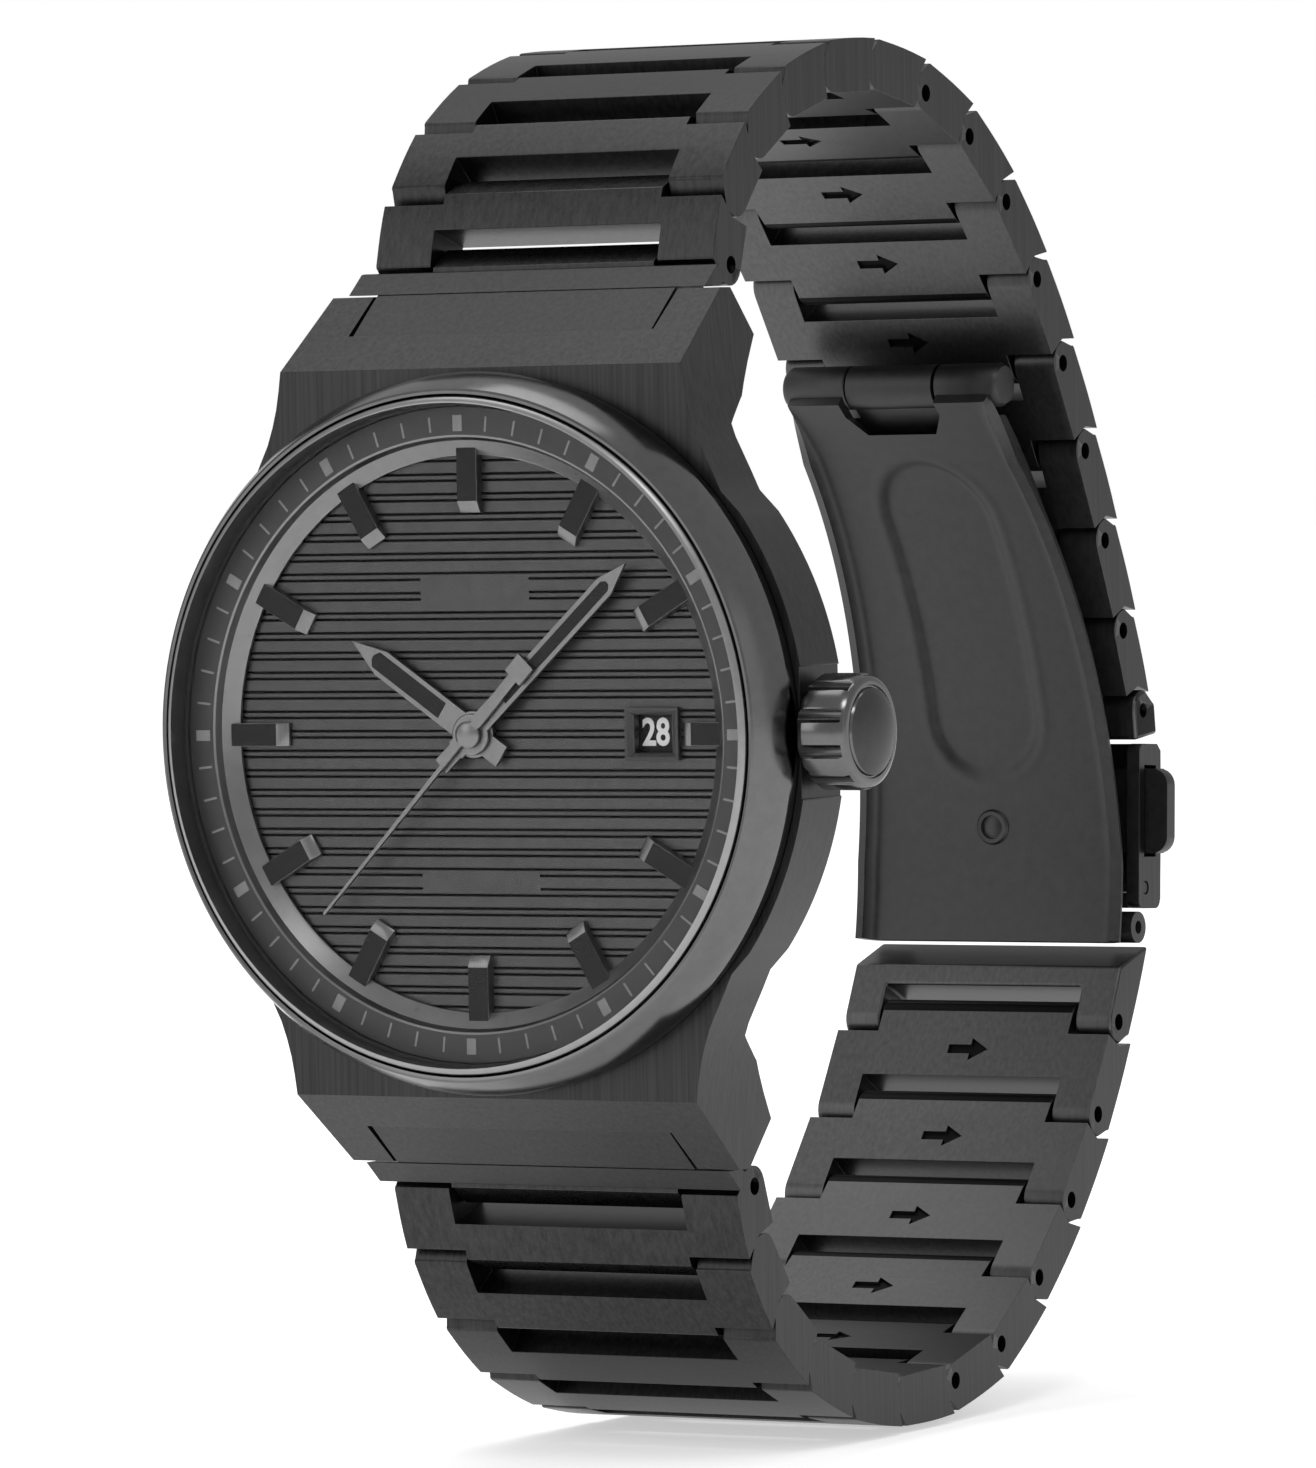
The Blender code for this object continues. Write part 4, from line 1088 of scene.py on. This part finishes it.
        def hidden(centre: Vector, normal: Vector) -> bool:
            """Pin, pin holes and the engraved arrow's floor, which get near-black painted shade."""
            sunk = abs(abs(centre.x) - width + 0.25) < 0.3 and math.hypot(centre.y - 0.1, centre.z) < 0.54
            pressed = link.arrow and abs(centre.x) < 1.4 and self.eye - 0.21 < centre.y < self.eye - 0.02
            return sunk or pressed or (abs(centre.x) < inner and math.hypot(centre.y, centre.z) < 0.52)

        self.dress(piece, Look.BRUSHED, (Look.INNER, inside),
              (Look.BEVEL, on_bevel), (Look.DEEP, hidden))
        piece.data.transform(link.matrix)
        self.mount(piece, link.name, "black_steel", link.name)

    def arrow(self, along: float, way: int) -> Obj:
        """The cutter of the direction arrow, pressed into a link's inner face.

        Args:
            along: Its place along the link.
            way: 1 or -1, the side it points to in the link's own space.

        Returns:
            The cutter.
        """
        chain = [(-1.35, -0.3), (0.15, -0.3), (0.15, -0.75), (1.35, 0.0), (0.15, 0.75), (0.15, 0.3),
                 (-1.35, 0.3)]
        flip = [(way * x, along + z) for x, z in chain]
        return slab("arrow", flip, Plane.XZ, self.eye - 0.2, self.eye + 1)

    def free_space(self, link: Link) -> Obj:
        """The space kept free beyond the last link for the clasp's end."""
        inverse = link.matrix.inverted()
        eye_y, low = 54.2, -15.4
        corners = [(-3.2, -1.25), (0.8, 0), (9, 0), (9, 20), (-9, 20), (-9, -3.1)]
        local = [inverse @ (Vector((0, eye_y + y, low + z)) * MM) / MM for y, z in corners]
        return slab("free", [(p.y, p.z) for p in local], Plane.YZ, -20, 20)

    def end_link(self, side: str) -> None:
        """The end link between the lugs: a sloped plate, a wider bar beyond the tips and a tongue."""
        widths = self.widths_12 if side == "12" else self.widths_6
        pin = self.pins[side][0]
        heading = math.radians(self.first_heading)
        outer, eye, lip = self.outers[0], self.eye, self.lip

        def local(s: float, t: float) -> tuple[float, float]:
            """A point in the end link's own (along, toward the wrist), in the frame's (Y, Z)."""
            return (pin[0] + s * math.sin(heading) + t * math.cos(heading),
                    pin[1] + s * math.cos(heading) - t * math.sin(heading))

        def slope(z: float) -> float:
            """The lugs' front slope at a height."""
            return -5.25 + 5.15 * (z - 20.2) / 4.1

        low, over, inner = 22.04, 24.4, 9.7
        plate = [(slope(low) + 0.16, low), (slope(23.3) + 0.05, 23.3), (slope(24.3) + 0.05, 24.35),
                 local(-lip - 0.25, -outer), local(-eye - 0.2, -0.4), local(-eye - 0.2, eye),
                 (pin[0] + 0.6, low)]
        bar = [(slope(24.3) + 0.05, over), (1.35, 25.58), (1.7, 25.62), local(-0.9, -1.2), (1.5, over)]
        tongue_half = widths[0] / 2 - self.legs[0] - 0.2
        tongue = [local(-2.4, -outer + 0.2), local(0, -outer), local(eye, -0.5)]
        tongue += [local(s, t) for s, t in arc((0, 0), eye, 0, 90, 5)] + [local(-2.4, eye)]
        piece = fuse(slab(f"end_plate_{side}", plate, Plane.YZ, -inner, inner),
                     slab("bar", bar, Plane.YZ, -widths[0] / 2 - 0.6, widths[0] / 2 + 0.6),
                     slab("tongue", tongue, Plane.YZ, -tongue_half, tongue_half))
        cut(piece, rod("bore", 0.62, -20, 20, "X", (0, *pin), 20))
        softened(piece, 0.16, 3, 30)

        def on_bevel(centre: Vector, normal: Vector) -> bool:
            """The sloped outer end of the tongue."""
            s = (centre.z - pin[1]) * math.cos(heading) + (centre.y - pin[0]) * math.sin(heading)
            return s > -0.1 and normal.y < -0.3 and normal.z > 0.2 and abs(centre.x) < tongue_half + 0.01

        self.dress(piece, Look.BRUSHED, (Look.BEVEL, on_bevel))
        if side == "6":
            piece.data.transform(Matrix.Rotation(math.pi, 4, "Y"))
        self.mount(piece, "case", "black_steel", f"end_link_{side}")


@dataclass
class Clasp(Assembly):
    """Connector, cover, buttons and the two folding blades."""

    bracelet: Bracelet = None
    width: float = 18.2
    blade_radius: float = 34.6
    blade_thickness: float = 0.8
    cover_length: float = 10.3
    cover_depth: float = 2.75
    lean: float = 2.0
    half_widths: tuple[float, float] = (7.0, 9.1)
    knuckle: float = 2.9
    hinge_in: float = 1.25
    eye_radius: float = 0.95
    gap: float = 0.1

    def build(self) -> None:
        """Build the clasp."""
        self.conn_pin = self.place("connector_pin")
        self.top = self.place("cover_pin")
        self.cover_pin = self.place("clasp_fold")
        self.fold_pin = self.place("blade_fold")
        last = self.bracelet.headings["12"][-1]
        self.conn_heading = last + max(self.joint("connector_pin")["range_deg"])
        self.cover_heading = self.conn_heading + max(self.joint("cover_pin")["range_deg"])
        middle_out = self.blade_radius + self.blade_thickness / 2 + 0.15 + self.blade_thickness
        turn = math.radians(self.cover_heading + self.lean)
        reach = middle_out + 0.8
        self.centre = (self.cover_pin[0] + reach * math.cos(turn), self.cover_pin[1] - reach * math.sin(turn))
        self.middle_out = middle_out
        self.connector()
        self.cover()
        self.buttons()
        self.middle_blade()
        self.inner_blade()

    def place(self, joint: str) -> tuple[float, float]:
        """A joint's (Y, Z), in millimetres."""
        p = Vector(self.joint(joint)["pos_m"]) / MM
        return (p.y, p.z)

    def angle(self, point: tuple[float, float]) -> float:
        """The angle of a point round the blades' centre, in degrees."""
        return math.degrees(math.atan2(point[1] - self.centre[1], point[0] - self.centre[0]))

    def connector(self) -> None:
        """The short link between bracelet and cover."""
        outer, eye, lip = 1.5, 1.2, 0.35
        length, half = 1.65, 8.9
        chain = [(-lip + 0.1, -outer), (-lip, -outer + 0.2), (-eye, -0.4)] + arc((0, 0), eye, 180, 90, 5)
        chain += [(length, eye), (length, -outer)]
        inner = half - 2.4
        piece = slab("clasp_connector", [(t, s) for s, t in chain], Plane.YZ, -half, half)
        cut(piece, block("recess", (-inner, inner), (-9, 9), (-9, 1.4)))
        softened(piece, 0.22, 3, 38)
        fuse(piece, block("tail", (-inner + 1, inner - 1), (-0.3, 0.5), (1.3, length + 1.6)),
             rod("pin", 0.5, -inner - 1.4, inner + 1.4, "X", (0, 0, 0), 20))
        cut(piece, *side_rods("hole", 0.45, half, 0.5, 1, 0.1, 0))
        smooth(piece)
        # Faces toward the wrist get a lighter tone as painted fill light.
        self.dress(piece, Look.BRUSHED, (Look.INNER, lambda c, n: n.y > 0.5),
              # The pin holes get near-black painted shade.
              (Look.DEEP, lambda c, n: abs(abs(c.x) - half + 0.25) < 0.3
               and math.hypot(c.y - 0.1, c.z) < 0.5))
        piece.data.transform(self.bracelet.pose("12", self.conn_pin, self.conn_heading))
        self.mount(piece, "connector", "black_steel", "connector_link")

    def cover(self) -> None:
        """The cover: a crowned plate with two round-cornered walls, slotted for the buttons."""
        wall, outer, rear, deep = self.width / 2, 1.5, self.cover_length, self.cover_depth
        start = 0.2 + 1.2 * math.sin(math.radians(self.cover_heading - self.conn_heading))
        inside = deep - outer - 0.05
        chain = [(start, -outer + 0.4), (start + 0.4, -outer - 0.05), (rear * 0.3, -outer - 0.1),
                 (rear * 0.5, -outer - 0.12), (rear * 0.75, -outer - 0.1), (rear - 0.5, -outer - 0.05)]
        chain += arc((rear - 0.55, -outer + 0.5), 0.55, 270, 360, 4)
        chain += arc((rear - 0.55, inside - 0.55), 0.55, 0, 90, 4)
        chain += arc((start + 0.55, inside - 0.55), 0.55, 90, 180, 4)
        piece = slab("clasp_cover_shell", [(t, s) for s, t in chain], Plane.YZ, -wall, wall)
        hollow = block("hollow", (-wall + 0.85, wall - 0.85), (-outer + 0.75, 9), (-1, rear + 1))
        mid, half = self.cover_length * 0.43, 2.75
        slots = [block("slot", side, (-0.95, 0.55), (mid - half, mid + half))
                 for side in ((-wall - 1, -wall + 2), (wall - 2, wall + 1))]
        cut(piece, hollow, *slots)
        softened(piece, 0.14, 3, 34)
        y, z = 0.35, rear - 1.25
        cut(piece, *side_rods("rim", 0.42, wall, 0.15, 1, y, z, 24))
        fuse(piece, rod("pin", 0.34, -wall + 0.06, wall - 0.06, "X", (0, y, z), 24))
        smooth(piece)
        self.dress(piece, Look.BRUSHED, (Look.SATIN, lambda c, n: n.y > 0.5))
        piece.data.transform(self.bracelet.pose("12", self.top, self.cover_heading))
        self.mount(piece, "clasp_cover", "black_steel", "clasp_cover")

    def buttons(self) -> None:
        """Two D-shaped push buttons."""
        wall, mid, half = self.width / 2, self.cover_length * 0.43, 2.55
        edge = wall + 1.4
        chain = [(wall - 2.3, mid - half), (edge - 0.75, mid - half)]
        chain += arc((edge - 1.0, mid - half + 1.0), 1.0, 285, 360, 5)
        chain += arc((edge - 1.0, mid + half - 1.0), 1.0, 0, 75, 5)
        chain += [(edge - 0.75, mid + half), (wall - 2.3, mid + half)]
        for side, label in ((1, "right"), (-1, "left")):
            button = slab(f"button_{label}", [(side * x, z) for x, z in chain], Plane.XZ, -0.75, 0.25)
            softened(button, 0.14, 3, 30)
            self.dress(button, Look.SATIN)
            button.data.transform(self.bracelet.pose("12", self.top, self.cover_heading))
            self.mount(button, f"button_{label}", "black_steel", f"push_button_{label}")

    def strip(self, name: str, low: float, high: float, start: float, end: float, half: float) -> Obj:
        """A plate bent round the blades' centre."""
        chain = arc(self.centre, high, start, end, 24) + arc(self.centre, low, end, start, 24)
        return slab(name, chain, Plane.YZ, -half, half)

    def middle_blade(self) -> None:
        """The middle blade: a slotted strip with its hub at the fold."""
        low, high = self.middle_out - self.blade_thickness, self.middle_out
        start, fold = self.angle(self.cover_pin) - 0.4, self.angle(self.fold_pin)
        keep = math.degrees(1.65 / (low + 0.95))
        blade = self.strip("clasp_middle_blade", low, high, start, fold, 6.3)
        z = self.centre[1] + low * math.sin(math.radians(fold - keep))
        cut(blade, block("corner", (-20, -self.knuckle), (-99, 199), (z, 99)),
            block("corner", (self.knuckle, 20), (-99, 199), (z, 99)))
        slot_half = 2.2
        cut(blade, block("slot", (-slot_half, slot_half), (-99, 199), (z - 17, z - 4)))
        hub_half = self.knuckle - 0.001
        fuse(blade, rod("hub", 1.3, -hub_half, hub_half, "X", (0, *self.fold_pin), 48),
             rod("knuckle", 0.95, -7.1, 7.1, "X", (0, *self.cover_pin), 32))
        cut(blade, rod("bore", 0.62, -9, 9, "X", (0, *self.fold_pin), 20),
            rod("bore", 0.52, -12, 12, "X", (0, *self.cover_pin), 20))
        softened(blade, 0.12, 2, 34)
        self.dress(blade, Look.SATIN)
        self.mount(blade, "middle_blade", "black_steel", "middle_blade")

    def inner_blade(self) -> None:
        """The inner blade: a curved sheet with rolled edges, a pressed panel and the catch peg's eye."""
        beyond = self.hinge_in + 2 * self.gap + self.eye_radius
        end_angle = self.angle(self.cover_pin) - math.degrees(beyond / (self.middle_out + 0.15))
        low = end_angle - math.degrees(1.1 / self.blade_radius)
        high = self.angle(self.fold_pin) + 0.9
        bare()
        columns, rows = 72, 150
        bpy.ops.mesh.primitive_grid_add(x_subdivisions=columns, y_subdivisions=rows, size=2,
                                        location=(0, 0, 0))
        sheet = bpy.context.object
        sheet.name = "clasp_inner_blade"
        for vertex in sheet.data.vertices:
            vertex.co = self.sheet_point(vertex.co.x, (vertex.co.y + 1) / 2, high, low)
        applied(sheet, "SOLIDIFY", thickness=0.62 * MM, offset=0.0, use_even_offset=True)
        edit(sheet)
        bpy.ops.mesh.normals_make_consistent(inside=False)
        bpy.ops.object.mode_set(mode="OBJECT")
        pitch = self.knuckle
        notch_z = self.fold_pin[1] - 1.75
        notch = [(-pitch - 0.3, 99), (-pitch - 0.3, notch_z), (-pitch + 0.6, notch_z - 1.1),
                 (pitch - 0.6, notch_z - 1.1), (pitch + 0.3, notch_z), (pitch + 0.3, 99)]
        cut(sheet, slab("notch", notch, Plane.XZ, -99, 199))
        top = self.half_widths[0]
        hubs = []
        for side in (-1, 1):
            near, far = pitch + 0.15, top + 0.25
            ring = [(0, near), (1.22, near), (1.3, near + 0.08), (1.3, far - 0.3), (1.1, far), (0, far)]
            hubs.append(spun("hub", [(r, side * h) for r, h in ring], "X", (0, *self.fold_pin), 40))
        fuse(sheet, *hubs)
        peg_z = -8.1
        peg = self.on_sheet(peg_z)
        ring = spun("peg", [(0, -0.1), (0.5, -0.12), (0.66, -0.02), (0.72, -0.24), (0.95, -0.26),
                            (1.08, -0.1), (1.1, 0.2), (0, 0.2)], steps=40)
        turn = Matrix.Rotation(math.radians(self.angle((peg[0], peg[1]))), 4, "X")
        ring.data.transform(Matrix.Translation(Vector((0, peg[0] - 0.25, peg[1])) * MM) @ turn)
        fuse(sheet, ring)
        eyes = []
        eye = self.end_eye(end_angle)
        for side in (-1, 1):
            near, far = sorted((side * 7.1, side * 9.0))
            eyes.append(rod("eye", self.eye_radius, near, far, "X", (0, *eye), 32))
        fuse(sheet, *eyes)
        cut(sheet, *side_rods("eye_hole", 0.4, 9.0, 0.4, 3, *eye))
        pick(sheet)
        bpy.ops.object.shade_smooth_by_angle(angle=math.radians(35))
        self.dress(sheet, Look.SATIN)
        self.mount(sheet, "inner_blade", "black_steel", "inner_blade")

    def end_eye(self, angle: float) -> tuple[float, float]:
        """Where the blade meets the other half of the bracelet."""
        radius = self.middle_out - self.blade_thickness + 1.05
        return (self.centre[0] + radius * math.cos(math.radians(angle)),
                self.centre[1] + radius * math.sin(math.radians(angle)))

    def on_sheet(self, z: float) -> tuple[float, float]:
        """The sheet's (Y, Z) at a height."""
        rise = math.asin((z - self.centre[1]) / self.blade_radius)
        return (self.centre[0] + self.blade_radius * math.cos(rise), z)

    def sheet_point(self, across: float, share: float, high: float, low: float) -> Vector:
        """A point of the inner blade's middle surface.

        Args:
            across: From -1 to 1 over the width.
            share: From 0 at the fold to 1 at the far end.
            high: Angle at the fold.
            low: Angle at the far end.

        Returns:
            The point, in metres.
        """
        half = blend(self.half_widths, share * 1.15) - 0.32
        x = across * half
        angle = math.radians(high + (low - high) * share)
        z = self.centre[1] + self.blade_radius * math.sin(angle)
        edge = max(0.0, (abs(x) - (half - 1.1)) / 1.1)
        roll = 1.0 * min(1.0, share * 8) * (1 - math.sqrt(max(0.0, 1 - edge ** 2)))
        panel_half, panel_top, panel_low = 3.6, 14.2, -5.0
        top, bottom = panel_top - panel_half, panel_low + panel_half
        reach = math.hypot(x, max(z - top, bottom - z, 0.0)) - panel_half
        sink = 0.22 / (1 + math.exp(reach * 7)) - 0.05 * math.exp(-((reach - 0.35) / 0.3) ** 2)
        radius = self.blade_radius + sink - roll
        y, z = self.centre[0] + radius * math.cos(angle), self.centre[1] + radius * math.sin(angle)
        return Vector((x, y, z)) * MM


@dataclass
class Inside(Assembly):
    """The pieces that keep the model's own shapes: seals, movement, stem and spring."""

    looks: dict = field(default_factory=lambda: {
        "crystal_gasket": Look.RUBBER, "case_back_gasket": Look.RUBBER,
        "main_plate": Look.BRASS, "barrel": Look.BRASS})

    def build(self) -> None:
        """Dress every node that no piece replaces."""
        for name, node in self.frame["nodes"].items():
            if not node.hide_render:
                look = self.looks.get(name, Look.BRIGHT)
                self.dress(node, look)
                LOG.info("%s: dressed as %s", name, look.value.name)


@dataclass
class Studio:
    """Floor, light and camera."""

    azimuth: float = 30.63
    elevation: float = 2.03
    roll: float = -1.29
    camera: tuple[float, float, float] = (279.05, -457.9, 18.6)
    lens: float = 236.3
    sink: float = 0.0004
    room: float = 0.58
    panels: tuple = (("key", (-0.5, -0.75, 0.35), (0.3, 0.6), 0.9),
                     ("side", (0.85, 0.02, 0.05), (0.3, 0.9), 0.25),
                     ("top", (-0.25, 0.1, 0.85), (0.6, 0.5), 1.8),
                     ("wrist", (0.35, -0.55, 0.9), (0.25, 0.25), 1.5))

    def build(self) -> None:
        """Set the stage."""
        self.floor()
        self.lights()
        self.place_camera()

    def floor(self) -> None:
        """A pale sweep that the watch stands on."""
        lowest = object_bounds()[0].z
        bare()
        bpy.ops.mesh.primitive_plane_add(size=6, location=(0, 0, lowest - self.sink))
        floor = bpy.context.object
        floor.name = "floor"
        bpy.ops.object.transform_apply(location=True, rotation=True, scale=True)
        material = bpy.data.materials.new("pale floor")
        material.use_nodes = True
        shader = material.node_tree.nodes["Principled BSDF"]
        pale, white = (0.94, 0.94, 0.94, 1), (1, 1, 1, 1)
        for label, value in (("Base Color", pale), ("Roughness", 0.95), ("Specular IOR Level", 0.0),
                             ("Emission Color", white), ("Emission Strength", 0.5)):
            shader.inputs[label].default_value = value
        floor.data.materials.append(material)
        floor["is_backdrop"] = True

    def lights(self) -> None:
        """A dim grey room with a white sight line, and soft panels round the watch."""
        scene = bpy.context.scene
        scene.view_settings.view_transform = "Standard"
        world = bpy.data.worlds.new("studio")
        scene.world = world
        world.use_nodes = True
        tree = world.node_tree
        room = tree.nodes["Background"]
        room.inputs["Color"].default_value = (1, 1, 1, 1)
        room.inputs["Strength"].default_value = self.room
        sweep = add(tree, "Background", {"Color": (1, 1, 1, 1)})
        sight = add(tree, "LightPath")
        mixed = add(tree, "MixShader", links={"Fac": sight.outputs["Is Camera Ray"]})
        tree.links.new(room.outputs["Background"], mixed.inputs[1])
        tree.links.new(sweep.outputs["Background"], mixed.inputs[2])
        tree.links.new(mixed.outputs["Shader"], tree.nodes["World Output"].inputs["Surface"])
        for name, place, size, power in self.panels:
            bare()
            bpy.ops.object.light_add(type="AREA", location=place)
            light = bpy.context.object
            light.name = name
            light.data.shape = "RECTANGLE"
            light.data.size, light.data.size_y = size
            light.data.energy = power
            light.rotation_euler = Vector(place).to_track_quat("Z", "Y").to_euler()
            light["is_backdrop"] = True

    def place_camera(self) -> None:
        """The camera, by its angles and distance."""
        a, e = math.radians(self.azimuth), math.radians(self.elevation)
        back = Vector((math.sin(a) * math.cos(e), -math.cos(a) * math.cos(e), math.sin(e)))
        data = bpy.data.cameras.new("camera")
        data.lens, data.sensor_width, data.sensor_fit = self.lens, 36.0, "AUTO"
        data.clip_start, data.clip_end = 0.01, 20
        camera = bpy.data.objects.new("camera", data)
        bpy.context.scene.collection.objects.link(camera)
        camera.location = Vector(self.camera) * MM
        camera.rotation_mode = "QUATERNION"
        rolled = Quaternion((0, 0, 1), math.radians(self.roll))
        camera.rotation_quaternion = (-back).to_track_quat("-Z", "Y") @ rolled
        bpy.context.scene.camera = camera


def main() -> None:
    """Build the watch round the frame, then the studio."""
    logging.basicConfig(level=logging.INFO, format="%(message)s")
    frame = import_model()
    palette = Palette()
    bracelet = Bracelet(frame, palette)
    for assembly in (Head(frame, palette), Face(frame, palette), Crown(frame, palette), bracelet,
                     Clasp(frame, palette, bracelet), Inside(frame, palette)):
        assembly.build()
        LOG.info("%s done", type(assembly).__name__)
    Studio().build()
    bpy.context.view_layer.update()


if __name__ == "__main__":
    main()
